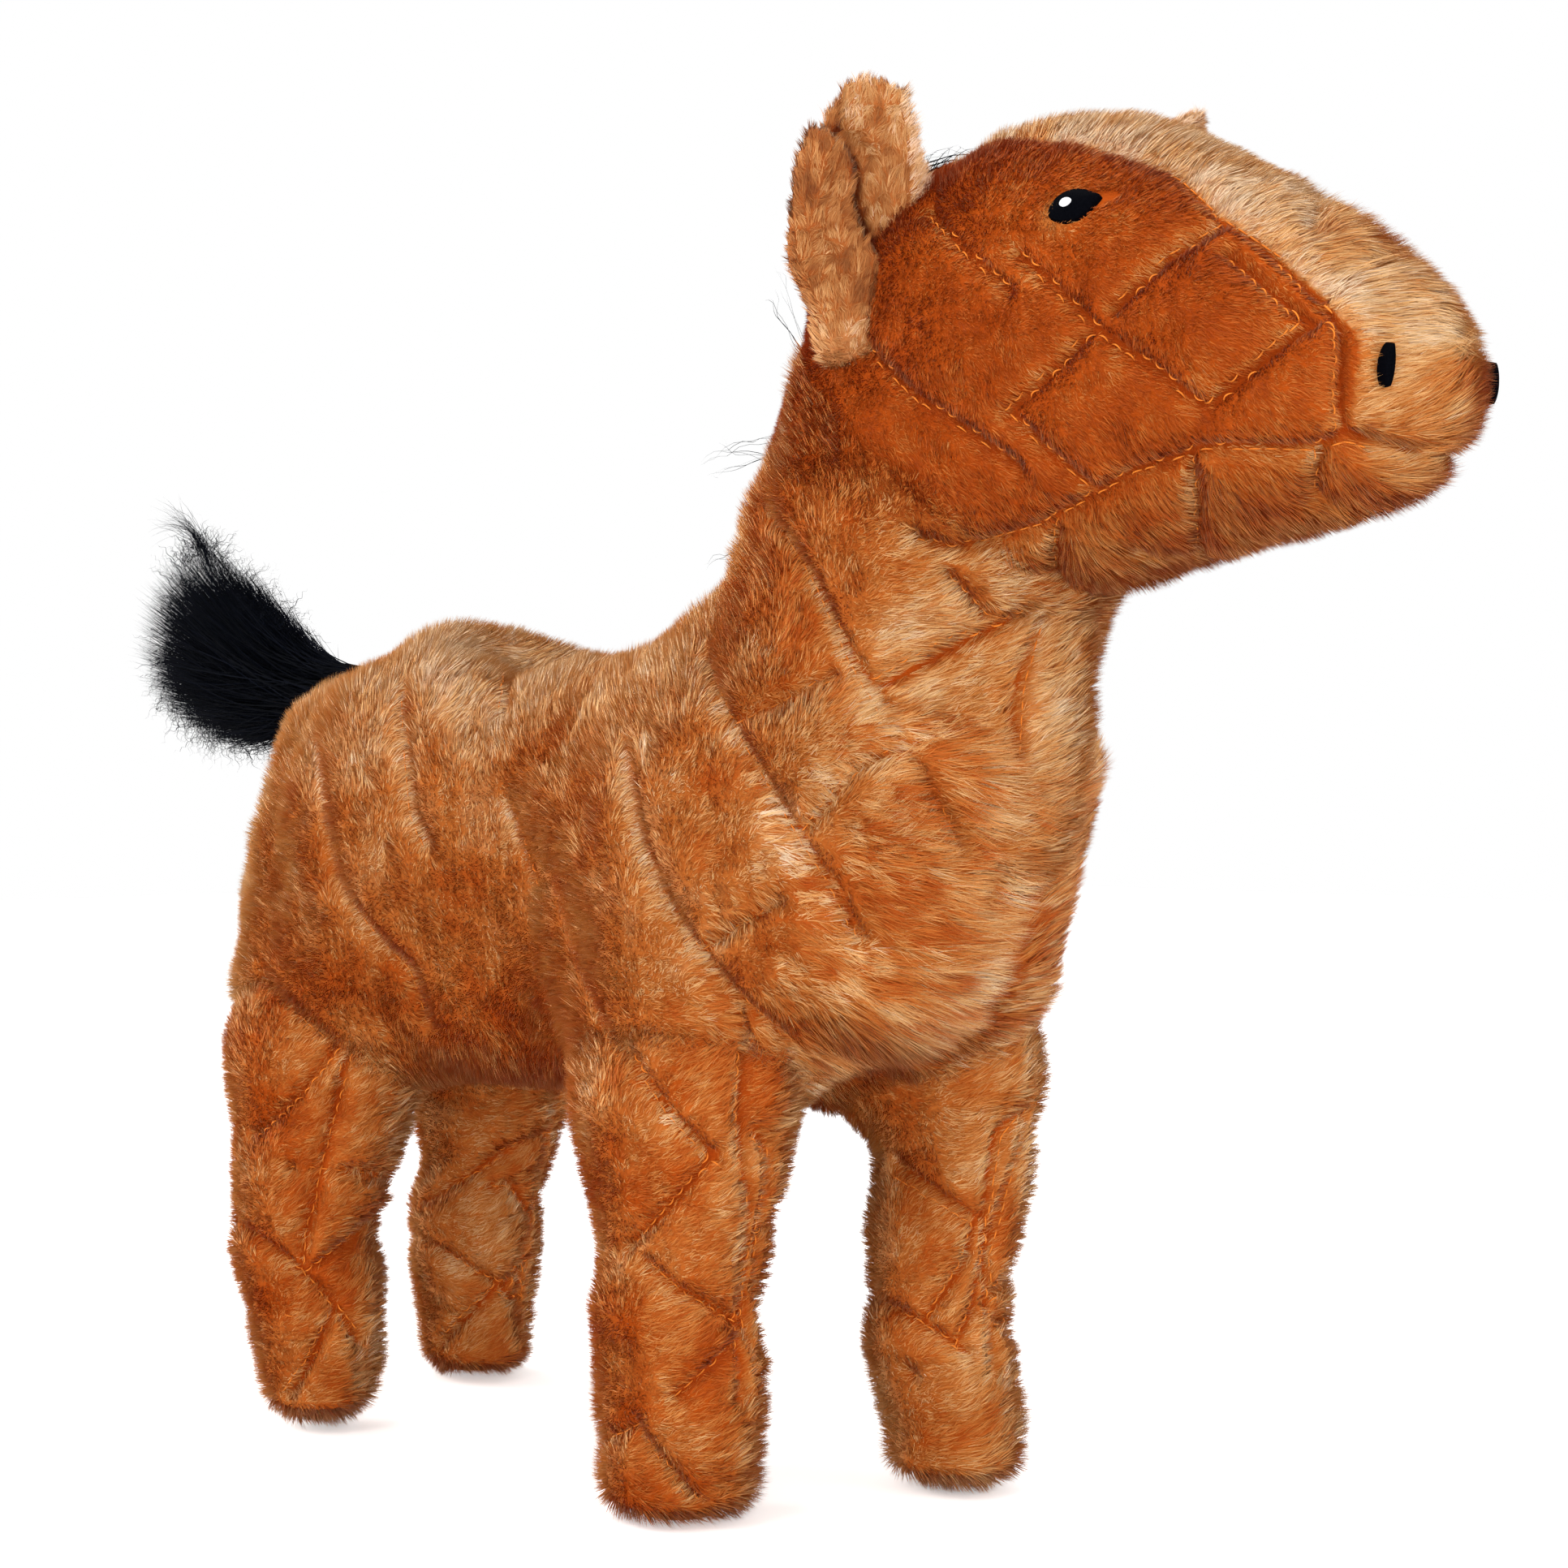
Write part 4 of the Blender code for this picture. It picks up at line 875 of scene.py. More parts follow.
def pile_on(skin, name, density, length, comb, material, seed, bare=(), keep=None, rise=0.50, width=0.00020,
            ruffle=0.30, pull=0.30, bevel=0.14):
    """Pile grown from a skin: tufts combed one way, parted in clumps, short and flat along stitching, with a
    painted highlight over seams and painted shade in and behind them.
    """
    rng = np.random.default_rng(seed)
    count = int(sample_skin(skin, 4, np.random.default_rng(0), keep)[1] * density)
    found, _ = sample_skin(skin, count, rng, keep)
    roots, normals, _, gap, _, _ = found
    on_sole = (normals[:, 2] < -0.8) & (roots[:, 2] < SOLE_FLAT)
    held = (roots[:, 2] > PILE_FLOOR) & (gap > PILE_SEAM) & ~on_sole
    for place, radius in bare:
        held &= np.linalg.norm(roots - place, axis=1) > radius
    roots, normals, near, gap, toward, tones = (values[held] for values in found)
    count = len(roots)
    lay = along_skin(comb(roots, normals), normals)
    clump = noise(roots, CLUMP_SIZES[0], seed + 1, 3) * 0.6 + noise(roots, CLUMP_SIZES[1], seed + 2, 3) * 0.4
    wander = rng.normal(0, 0.17, (count, 3))
    lay = along_skin(lay + clump * ruffle + wander, normals)
    reach = of_place(length, roots, normals) * rng.uniform(0.70, 1.15, count)
    reach = reach * (1 + 0.15 * noise(roots, 0.005, seed + 3)) * (1 - 0.62 * near)
    up = of_place(rise, roots, normals) * (1 + 0.25 * noise(roots, 0.006, seed + 4)) * (1 - 0.3 * near)
    lean = unit(lay * (1 - 0.6 * up)[:, None] + normals * up[:, None] + SAG)
    below = dot(lean, normals) < 0.10
    lean[below] = unit(lean[below] + normals[below] * 0.2)
    tuft, tuft_tone = gathered(roots, TUFT_SIZE, seed + 5)
    lock, lock_tone = gathered(roots, LOCK_SIZE, seed + 6)
    drawn = of_place(pull, roots, normals)
    moved = np.clip((tuft + lock * 0.35) * np.reshape(drawn, (-1, 1)), -TIP_DRAW, TIP_DRAW)
    lean = lean * reach[:, None] + (moved - dot(moved, normals)[:, None] * normals)
    for place, radius in bare:
        lean[np.linalg.norm(roots + lean - place, axis=1) < radius * 1.15] *= 0.30
    over = dot(toward, lay)
    tones += rng.normal(0, 0.09, count)
    tones += (tuft_tone * 0.09 + lock_tone * 0.05) * drawn / 0.3
    # Painted highlight where the pile leans over a seam, painted shade behind it and in the seam's groove
    tones += bevel * np.maximum(over, 0) * np.exp(-(((gap - SEAM_HIGHLIGHT_GAP) / SEAM_HIGHLIGHT_WIDTH) ** 2))
    tones -= 0.12 * np.maximum(-over, 0) * np.exp(-((gap / SEAM_SHADE) ** 2))
    tones -= 0.10 * np.exp(-((gap / GROOVE_SHADE_WIDTH) ** 2))
    widths = width * rng.uniform(0.75, 1.25, count)
    pieces = []
    parts = max(int(math.ceil(count / MOST_TUFTS)), 1)
    order = rng.permutation(count)
    for i in range(parts):
        part = np.sort(order[i::parts])
        label = name if parts == 1 else f"{name}_{i + 1}"
        pieces.append(tuft_mesh(
            label, roots[part], normals[part], lean[part], widths[part], tones[part], material, seed + 50 + i
        ))
    return pieces


class Value:
    """A socket of a material, on which Python's arithmetic adds Math nodes."""

    def __init__(self, material, socket):
        self.material = material
        self.socket = socket

    def maths(self, operation, first, second):
        return self.material.node("ShaderNodeMath", {"operation": operation}, {0: first, 1: second})

    def __add__(self, other):
        return self.maths("ADD", self, other)

    def __radd__(self, other):
        return self.maths("ADD", other, self)

    def __sub__(self, other):
        return self.maths("SUBTRACT", self, other)

    def __rsub__(self, other):
        return self.maths("SUBTRACT", other, self)

    def __mul__(self, other):
        return self.maths("MULTIPLY", self, other)

    def __rmul__(self, other):
        return self.maths("MULTIPLY", other, self)

    def __pow__(self, other):
        return self.maths("POWER", self, other)


class Finish:
    """A material under construction: nodes by type, settings and inputs, and the shader's own numbers."""

    def __init__(self, name, **shader):
        self.material = bpy.data.materials.new(name)
        self.material.use_nodes = True
        self.tree = self.material.node_tree
        self.shader = self.tree.nodes["Principled BSDF"]
        for socket, value in shader.items():
            self.shader.inputs[socket.replace("_", " ")].default_value = value

    def node(self, kind, settings=None, inputs=None, output=0):
        made = self.tree.nodes.new(kind)
        for setting, value in (settings or {}).items():
            if setting == "stops":
                ramp = made.color_ramp
                while len(ramp.elements) < len(value):
                    ramp.elements.new(0.5)
                for element, (place, colour) in zip(ramp.elements, value):
                    element.position = place
                    element.color = (*colour, 1)
            else:
                setattr(made, setting, value)
        for socket, value in (inputs or {}).items():
            self.feed(made.inputs[socket], value)
        return Value(self, made.outputs[output])

    def feed(self, socket, value):
        if isinstance(value, Value):
            self.tree.links.new(value.socket, socket)
        elif isinstance(value, tuple) and len(value) == 3 and socket.type == "RGBA":
            socket.default_value = (*value, 1)
        else:
            socket.default_value = value

    def mix(self, factor, first, second):
        """A colour between two."""
        return self.node(
            "ShaderNodeMix", {"data_type": "RGBA"}, {0: factor, 6: first, 7: second}, 2
        )

    def set(self, **links):
        for socket, value in links.items():
            self.feed(self.shader.inputs[socket.replace("_", " ")], value)
        return self.material


def pile_stops(look, part="pile"):
    """A pile's colours from the deepest to the palest tone."""
    stops = ((0.0, "deep"), (0.28, "red"), (0.52, "tan"), (0.76, "light"), (1.0, "pale"))
    return [(place, tuple(getattr(look, f"{part}_{name}"))) for place, name in stops]


def pile_finish(name, look, part="pile"):
    """Pile whose colour runs from a dark root to a tip, by tone across the strip and by reach up it."""
    finish = Finish(name, Roughness=0.75, Specular_IOR_Level=0.12, Sheen_Weight=0.30, Sheen_Roughness=0.4,
                    Sheen_Tint=(*linear(250, 214, 168), 1.0))
    uv = finish.node("ShaderNodeUVMap", {"uv_map": "OFBake"})
    tone = finish.node("ShaderNodeSeparateXYZ", None, {0: uv}, 0)
    reach = finish.node("ShaderNodeSeparateXYZ", None, {0: uv}, 1)
    tip = finish.node("ShaderNodeValToRGB", {"stops": pile_stops(look, part)}, {0: tone})
    root = finish.mix(0.72, tuple(look.pile_root), tip)
    return finish.set(Base_Color=finish.mix(reach ** 0.45, root, tip))


def ground_finish(name, look, part="pile"):
    """The cloth under the pile, in the pile's own tones a little darker, with dark specks: painted shade
    between the fibres.
    """
    finish = Finish(name, Roughness=0.9, Specular_IOR_Level=0.05)
    tone = finish.node("ShaderNodeAttribute", {"attribute_name": "pile_tone"}, None, 2)
    place = finish.node("ShaderNodeTexCoord", None, None, 3)
    fine = finish.node("ShaderNodeTexNoise", None, {"Vector": place, "Scale": 1500.0, "Detail": 2.0})
    # Painted shade: the cloth is darker than its pile and flecked with the root colour
    tip = finish.node("ShaderNodeValToRGB", {"stops": pile_stops(look, part)}, {0: tone - 0.08})
    bump = finish.node("ShaderNodeBump", None, {"Height": fine, "Distance": 0.0006, "Strength": 0.6})
    return finish.set(Base_Color=finish.mix(0.20 + 0.45 * fine, tip, tuple(look.pile_root)), Normal=bump)


def hair_finish(name, root, tip):
    """Long hair, each lock at its own tone between a root colour and a slightly bluer tip colour."""
    finish = Finish(name, Roughness=0.7, Specular_IOR_Level=0.02)
    uv = finish.node("ShaderNodeUVMap", {"uv_map": "OFBake"})
    tone = finish.node("ShaderNodeSeparateXYZ", None, {0: uv}, 0)
    return finish.set(Base_Color=finish.mix(tone, root, tip))


def thread_finish(name, dark, light, roughness, shine):
    """Satin embroidery thread: fine streaks along its stitches."""
    finish = Finish(name, Roughness=roughness, Specular_IOR_Level=shine)
    place = finish.node("ShaderNodeTexCoord", None, None, 3)
    streaks = finish.node("ShaderNodeTexNoise", None, {"Vector": place, "Scale": 2600.0, "Detail": 2.0})
    return finish.set(Base_Color=finish.mix(streaks, dark, light))


# The horse's places and combing

def badge_place(badge, side):
    """Where a badge lies along and round the head on one side, and how it tilts."""
    return badge["along"], QUARTER_TURN - side * (QUARTER_TURN - badge["angle"]), side * badge["tilt"]


def bare_spots():
    """Where the face's thread leaves no pile: along each eye and nostril, each spot with a radius."""
    head = FORMS["head"]
    spots = []
    for side in (RIGHT, LEFT):
        for badge in (EYE, NOSTRIL):
            radius, point = badge["bare"]
            along, around, tilt = badge_place(badge, side)
            _, ahead, aside = head.facing(along, around)
            for run, size in ((-0.28, point), (0.0, radius), (0.42, point), (0.68, point * 0.8)):
                step = run * badge["size"][0]
                place = along + step * math.cos(tilt) / np.linalg.norm(ahead)
                turn = around + step * math.sin(tilt) / np.linalg.norm(aside)
                spots.append((head.points(place, turn), size))
    return spots


# The ways in which the pile is combed
NAP = np.array([0.85, 0.0, 0.35])
CHEST_NAP = {RIGHT: np.array([0.35, 0.85, 0.05]), LEFT: np.array([0.0, 0.35, 0.90])}
LEG_NAP = np.array([0.75, 0.0, 0.40])
CHEEK_NAP = np.array([0.90, 0.0, -0.32])
BROW_NAP = np.array([0.95, 0.0, 0.10])
# From the horse's middle: where the chest starts, how wide its seam is, and where the rump and the belly are
CHEST_PLACES = (0.070, 0.095)
CHEST_FACING = (0.22, 0.60)
CHEST_SEAM = (-0.001, 0.001)
RUMP_PLACES = (0.070, 0.105)
BELLY_HEIGHTS = (0.090, 0.135)
THROAT_HEIGHTS = (0.195, 0.230)


def body_comb(roots, normals):
    """Forwards and up over the flanks, and in towards the seam on the chest."""
    front = chest_share(roots, normals)[:, None]
    left = ease(roots[:, 1] - HORSE_PLACE[1], *CHEST_SEAM)[:, None]
    return NAP * (1 - front) + (CHEST_NAP[RIGHT] * (1 - left) + CHEST_NAP[LEFT] * left) * front


def chest_share(roots, normals):
    """How far each point is on the chest, from 0 to 1."""
    return ease(roots[:, 0] - HORSE_PLACE[0], *CHEST_PLACES) * ease(normals[:, 0], *CHEST_FACING)


def straight(way):
    """A comb that lays the pile one way everywhere."""
    return lambda roots, normals: np.tile(way, (len(roots), 1))


def head_comb(roots, normals):
    """Forwards and down over the cheeks, and straight forwards on the forehead and nose panels."""
    brow, nose, _ = head_panels(roots)
    pale = np.maximum(brow, nose)[:, None]
    return CHEEK_NAP * (1 - pale) + BROW_NAP * pale


def side_bump(flat, normals, x, z, wide, high, height):
    """A soft mound on both flanks: its height times a bell in x and in z, where the skin faces sideways."""
    mound = bell(flat[:, 0] - HORSE_PLACE[0], x, wide) * bell(flat[:, 2], z, high)
    return height * mound * ease(np.abs(normals[:, 1]), 0.25, 0.8)


def mounds(name, flat):
    """Bells on both sides, each as high as its own lift."""
    local = (flat - HORSE_PLACE) * 1000
    found = np.zeros(len(flat))
    for x, y, z, height in MOUNDS[name]:
        for side in (LEFT, RIGHT):
            gap = np.linalg.norm(local - (x, side * y, z), axis=1)
            found += height / 1000 * bell(gap, 0, MOUND_WIDTH)
    return found


# The shoulder, waist and haunch: x, z, breadth, height on the flank and lift
FLANKS = (
    (0.068, 0.130, 0.026, 0.042, 0.0042),
    (0.012, 0.122, 0.024, 0.045, -0.0070),
    (-0.070, 0.125, 0.030, 0.040, 0.0012),
)
# The valley of the chest's seam: its place left of the middle, its breadth and its depth
CHEST_VALLEY = (0.003, 0.004, -0.0030)


def stuffing(name, flat, normals):
    """How far the stuffing pushes a skin out of its plain form."""
    if name == "torso":
        place, breadth, depth = CHEST_VALLEY
        aside = flat[:, 1] - HORSE_PLACE[1]
        seam = depth * bell(aside, place, breadth) * chest_share(flat, normals)
        return mounds(name, flat) + sum(side_bump(flat, normals, *flank) for flank in FLANKS) + seam
    if name in MOUNDS:
        return mounds(name, flat)
    left, right = (np.interp(flat[:, 2] * 1000, LEG_EDGE_HEIGHTS, edge) / 1000 for edge in LEG_EDGES[name])
    share = 0.5 + 0.5 * dot(normals, CAMERA_ASIDE)
    return left * (1 - share) + right * share


def leg_stand(roots, normals):
    """How upright a leg's pile stands: most on its front, by the seam."""
    return 0.58 + 0.12 * ease(dot(normals, CAMERA_ASIDE), 0.3, 0.85)


def leg_pull(roots, normals):
    return 0.28 + 0.20 * ease(dot(normals, CAMERA_ASIDE), 0.2, 0.8)


def body_stand(roots, normals):
    return 0.68 - 0.22 * chest_share(roots, normals)


def body_pull(roots, normals):
    return 0.28 + 0.50 * chest_share(roots, normals)


PANEL_EDGES = {}


def head_panels(places):
    """How far each point is on the forehead, the nose and the chin panel, from 0 to 1 across their seams."""
    head = FORMS["head"]
    if not PANEL_EDGES:
        for panel, pixels in (("brow", BROW_EDGE), ("nose", NOSE_EDGE), ("chin", CHIN_EDGE)):
            found, met = found_on_body(stroke(pixels, 8), ("head",))
            at, rise = head.measured(found[met])
            order = np.argsort(rise if panel == "nose" else at)
            PANEL_EDGES[panel] = (at[order], rise[order])
    at, rise = head.measured(places)
    brow_at, brow_rise = PANEL_EDGES["brow"]
    nose_at, nose_rise = PANEL_EDGES["nose"]
    chin_at, chin_rise = PANEL_EDGES["chin"]
    brow = ease(rise - np.interp(at, brow_at, brow_rise), -0.02, 0.03)
    nose = ease(at - np.interp(rise, nose_rise, nose_at), -0.008, 0.012)
    chin = ease(np.interp(at, chin_at, chin_rise) - rise, -0.02, 0.03)
    return brow, nose, chin


def torso_tone(roots, normals):
    """Pale along the back, over the rump and at the edges turned aside, as painted light; pale on the chest's
    right half, with painted shadow darker beside its seam; painted shade darker and reddish low on the
    flanks.
    """
    front = chest_share(roots, normals)
    rump = ease(HORSE_PLACE[0] - roots[:, 0], *RUMP_PLACES)
    # Painted light: paler where the skin faces up, over the rump and at the edges turned aside from the
    # camera; painted shade: darker low on the flanks
    top = ease(normals[:, 2], 0.10, 0.80)
    low = 1 - ease(roots[:, 2], *BELLY_HEIGHTS)
    edge_light = ease(np.abs(dot(normals, CAMERA_ASIDE)), 0.50, 0.95)
    found = 0.55 + 0.30 * top + (0.42 * rump + 0.12 * edge_light) * (1 - top) - 0.10 * low
    aside = roots[:, 1] - HORSE_PLACE[1]
    # Painted shadow: a dark band left of the chest's seam, under the right half's pile
    chest = 0.56 - 0.04 * ease(aside, 0.0, 0.002) - 0.34 * bell(aside, 0.004, 0.004)
    chest += 0.08 * bell(aside, -0.006, 0.006) + 0.10 * ease(aside, 0.012, 0.024)
    return found * (1 - front) + chest * front


def neck_tone(roots, normals):
    """Reddish under the cheeks, paler behind and down the chest's middle."""
    behind = ease(-normals[:, 0], 0.2, 0.8)
    throat = ease(roots[:, 2], *THROAT_HEIGHTS) * (1 - behind)
    return 0.53 + 0.16 * ease(normals[:, 0], 0.35, 0.7) * (1 - throat) + 0.32 * behind - 0.14 * throat


def head_tone(roots, normals):
    """Deep reddish cheeks and chin, with a pale forehead and nose, and a pale rim behind each eye."""
    brow, nose, chin = head_panels(roots)
    fade = ease(FORMS["head"].measured(roots)[1], -0.4, 0.7)
    patches = noise(roots, 0.0055, 79)
    found = 0.25 + 0.08 * patches
    eye = bare_spots()[0][0]
    for place in (eye, eye * (1, -1, 1) + (0, 2 * HORSE_PLACE[1], 0)):
        found = found + 0.30 * bell(np.linalg.norm(roots - place, axis=1), 0.0030, 0.0022)
    nape = ease(-normals[:, 0], 0.25, 0.75)
    found = found * (1 - brow) + (0.86 - 0.52 * nape + 0.14 * patches) * brow
    found = found * (1 - nose) + (0.50 + 0.24 * fade + 0.08 * patches) * nose
    return found * (1 - chin) + (0.40 + 0.16 * nose + 0.10 * patches) * chin


def leg_tone(roots, normals):
    # Painted light: paler on the far legs, and at the edges turned aside from the camera
    far = ease(roots[:, 1], HORSE_PLACE[1], HORSE_PLACE[1] + 0.01)
    edge = ease(np.abs(dot(normals, CAMERA_ASIDE)), 0.55, 0.95)
    return 0.45 + 0.08 * far + 0.22 * edge + 0.08 * noise(roots, 0.012, 77)


def torso_length(roots, normals):
    """Longest on the chest's right half, by its seam."""
    front = ease(roots[:, 0] - HORSE_PLACE[0], 0.08, 0.115)
    aside = roots[:, 1] - HORSE_PLACE[1]
    centre = 1 - ease(np.abs(aside), 0.010, 0.040)
    return 0.0044 + (0.0046 - 0.0030 * ease(aside, *CHEST_SEAM)) * front * centre


def leg_length(roots, normals):
    """Shorter up the leg than round the foot."""
    return 0.0048 - 0.0010 * ease(roots[:, 2], 0.008, 0.030)


def head_length(roots, normals):
    brow, nose, chin = head_panels(roots)
    return 0.0027 + 0.0012 * brow + 0.0015 * nose + 0.0012 * chin


def head_stand(roots, normals):
    """How upright the head's pile stands."""
    return 0.62 - 0.05 * head_panels(roots)[1]


def head_pull(roots, normals):
    return 0.18 + 0.10 * head_panels(roots)[1]


def row_places(first_cap, body, last_cap):
    """Places along a form: so many rows over the first cap, the body and the last cap."""
    parts = []
    if first_cap:
        parts.append(np.linspace(-0.992, 0, first_cap, endpoint=False))
    parts.append(np.linspace(0, 1, body))
    if last_cap:
        parts.append(np.linspace(1, 1.992, last_cap + 1)[1:])
    return np.concatenate(parts)


def ear_matrix(side):
    """The ear's turn: about its upright axis, then out from the head and forwards."""
    lean_out, lean_forward = (EAR[name][side] for name in ("lean_out", "lean_forward"))
    turns = ((-side * lean_out, "X"), (side * EAR["turn"], "Z"), (lean_forward, "Y"))
    out, round_up, forward = (np.array(Matrix.Rotation(angle, 3, axis)) for angle, axis in turns)
    return out @ round_up @ forward


def ear_grid(side, along, around):
    """An ear's surface: a flat form cupped forwards by the square of its breadth, leaned about its root."""
    rise = EAR["height"] * np.array(EAR["places"])
    half_depths = EAR["thickness"] / 2 * np.array(EAR["thicknesses"])
    half_widths = EAR["width"] / 2 * np.array(EAR["widths"])
    caps = (half_depths[0], EAR["tip"])
    form = Form(in_middle_plane(0 * rise, rise), [0] * len(rise), half_depths, half_widths, caps)
    found = form.points(along[:, None], around[None, :])
    flat = found.copy()
    found[..., 1] *= EAR_SQUEEZE[side] * (1 + 0.35 * ease(found[..., 2] / EAR["height"], *EAR_SPREAD))
    found[..., 2] *= EAR_RISE[side]
    outward = found[..., 1] * side
    taper = 0.30 + 0.70 * ease(found[..., 2] / EAR["height"], *EAR_TAPER)
    found[..., 1] = np.where(outward > 0, outward * taper, outward) * side
    cup = EAR["cup"] * np.clip(found[..., 2] / EAR["height"], 0, 1)
    found[..., 0] += cup * (2 * found[..., 1] / EAR["width"]) ** 2
    root = JOINTS["ear_fold_right" if side == RIGHT else "ear_fold_left"]
    return found @ ear_matrix(side).T + root, flat


class EarSkin(Skin):
    """An ear's skin: rolled edges, and a fold pressed into its lining.

    Lengths are in metres across the ear, from the fold's edge: the crease beside it and the hollow past that.
    """

    COLUMNS = 96
    FLAP_EDGE = (-0.0006, 0.0010)
    CREASE = (-0.0012, 0.0018)
    HOLLOW = (-0.0060, 0.0045)
    FLAP_LIFT, CREASE_LIFT, HOLLOW_LIFT, ROLL_LIFT = 0.0034, -0.0028, -0.0024, 0.0006
    ROLL_START = 0.012
    SINK = 0.0008
    # How the cloth swells where it is sewn to the head, and how far into the head it still shows
    ROOT_SWELL, ROOT_WIDTH, ROOT_DEPTH = 0.0022, 0.005, -0.0012

    def __init__(self, side):
        along = row_places(10, 70, 16)
        self.around = np.linspace(0, WHOLE_TURN, self.COLUMNS, endpoint=False)
        self.rows, self.columns = len(along), self.COLUMNS
        points, flat = (found.reshape(-1, 3) for found in ear_grid(side, along, self.around))
        normals = self.grid_normals(points)
        self.lining = flat[:, 0] > 0
        high = flat[:, 2] / EAR["height"]
        width = EAR["width"] * np.interp(high, EAR["places"], EAR["widths"]) / 2
        outward = flat[:, 1] * side
        self.rim = outward / np.maximum(width, 0.004)
        past_fold = outward - np.interp(high, EAR_FOLD_HEIGHTS, EAR_FOLD_PLACES) * EAR["width"] / 2
        flap = ease(past_fold, *self.FLAP_EDGE)
        crease = bell(past_fold, *self.CREASE) * ease(high, 0.0, 0.12)
        hollow = bell(past_fold, *self.HOLLOW) * ease(high, 0.1, 0.3)
        roll = bell(np.abs(self.rim), 0.90, 0.16) * ease(flat[:, 2], 0.0, self.ROLL_START)
        lift = self.FLAP_LIFT * flap + self.CREASE_LIFT * crease + self.HOLLOW_LIFT * hollow
        lift = roll * self.ROLL_LIFT + np.where(self.lining, lift, 0) + 0.0005 * noise(points, 0.008, 31)
        apart = FORMS["head"].distance(points)
        lift = lift + self.ROOT_SWELL * bell(np.maximum(apart, 0), 0, self.ROOT_WIDTH)
        self.points = points + normals * (lift - self.SINK)[:, None]
        self.normals = self.grid_normals(self.points)
        self.near = np.where(self.lining, crease, 0)
        self.flap = np.where(self.lining, flap, 1.0)
        self.gap = np.full(len(points), 0.02)
        self.toward = np.zeros((len(points), 3))
        self.buried = apart < self.ROOT_DEPTH


def stitch_row(line, pitch):
    """Middles and directions of stitches a pitch apart along a line of points."""
    reach = lengths_along(line)
    at = np.arange(pitch / 2, reach[-1], pitch)
    before, middle, after = (read_off(at + step, reach, line) for step in (-pitch / 3, 0, pitch / 3))
    return middle, unit(after - before)


def stitches_on(skin, name, stitches, material):
    """Short arched stitches of thread along a skin's lines: each a round tube that dips in at both ends.

    A ring's middle is that of its stitch + step * along + (arch * (1 - step squared) + rise) * out.
    """
    rows = [stitch_row(line, STITCH_PITCH) for line in stitches if len(line) > 4]
    middle, ahead = (np.concatenate(parts) for parts in zip(*rows))
    own = np.abs(skin.form.distance(middle))
    others = np.min([np.abs(FORMS[o].distance(middle)) for o in NEIGHBOURS[skin.name]], axis=0)
    held = (own < STITCH_SLACK) & (own <= others + 0.0002)
    middle, ahead = middle[held], ahead[held]
    if not len(middle):
        return None
    apart = dot(skin.points, skin.points)[None, :] - 2 * middle @ skin.points.T
    nearest = apart.argmin(axis=1)
    out = skin.normals[nearest]
    middle = middle + out * dot(skin.points[nearest] - middle, out)[:, None]
    ahead = along_skin(ahead, out)
    side = np.cross(out, ahead)
    rings = len(STITCH_SHARES)
    steps = np.linspace(-1, 1, rings)
    turns = np.linspace(0, WHOLE_TURN, STITCH_SIDES, endpoint=False)
    rise = STITCH_ARCH * (1 - steps**2) + STITCH_RISE
    line = middle[:, None] + ahead[:, None] * (steps * STITCH_PITCH * 0.40)[None, :, None]
    line = line + out[:, None] * rise[None, :, None]
    ring = side[:, None] * np.cos(turns)[None, :, None] + out[:, None] * np.sin(turns)[None, :, None]
    thick = STITCH_RADIUS * np.array(STITCH_SHARES)
    points = line[:, :, None] + ring[:, None] * thick[None, :, None, None]
    start = rings * STITCH_SIDES * np.arange(len(middle))[:, None, None, None]
    quads = start + ring_quads(rings, STITCH_SIDES)[None]
    corners = np.arange(STITCH_SIDES)
    lids = start[..., 0] + np.stack([corners[::-1], (rings - 1) * STITCH_SIDES + corners])[None]
    faces = [quads.reshape(-1, 4), lids.reshape(-1, STITCH_SIDES)]
    return mesh_object(name, points.reshape(-1, 3), faces, material)


PILE = {}
STITCHES = []


class HorseSizes(bpy.types.PropertyGroup):
    """Sizes of the pile, stitches and hair."""

    neck_pile: bpy.props.FloatProperty(
        name="Neck pile", description="Length of the pile on the neck", default=0.0046, unit="LENGTH"
    )
    ear_pile: bpy.props.FloatProperty(
        name="Ear pile", description="Length of the pile on the ears", default=0.0020, unit="LENGTH"
    )
    pile_density: bpy.props.FloatProperty(
        name="Pile density", description="Tufts of pile on a square metre of skin", default=5.3e6
    )
    tail_hairs: bpy.props.IntProperty(
        name="Tail hairs", description="Locks of hair in the tail", default=11500
    )
    mane_hairs: bpy.props.IntProperty(
        name="Mane hairs", description="Locks of hair in the mane", default=4500
    )


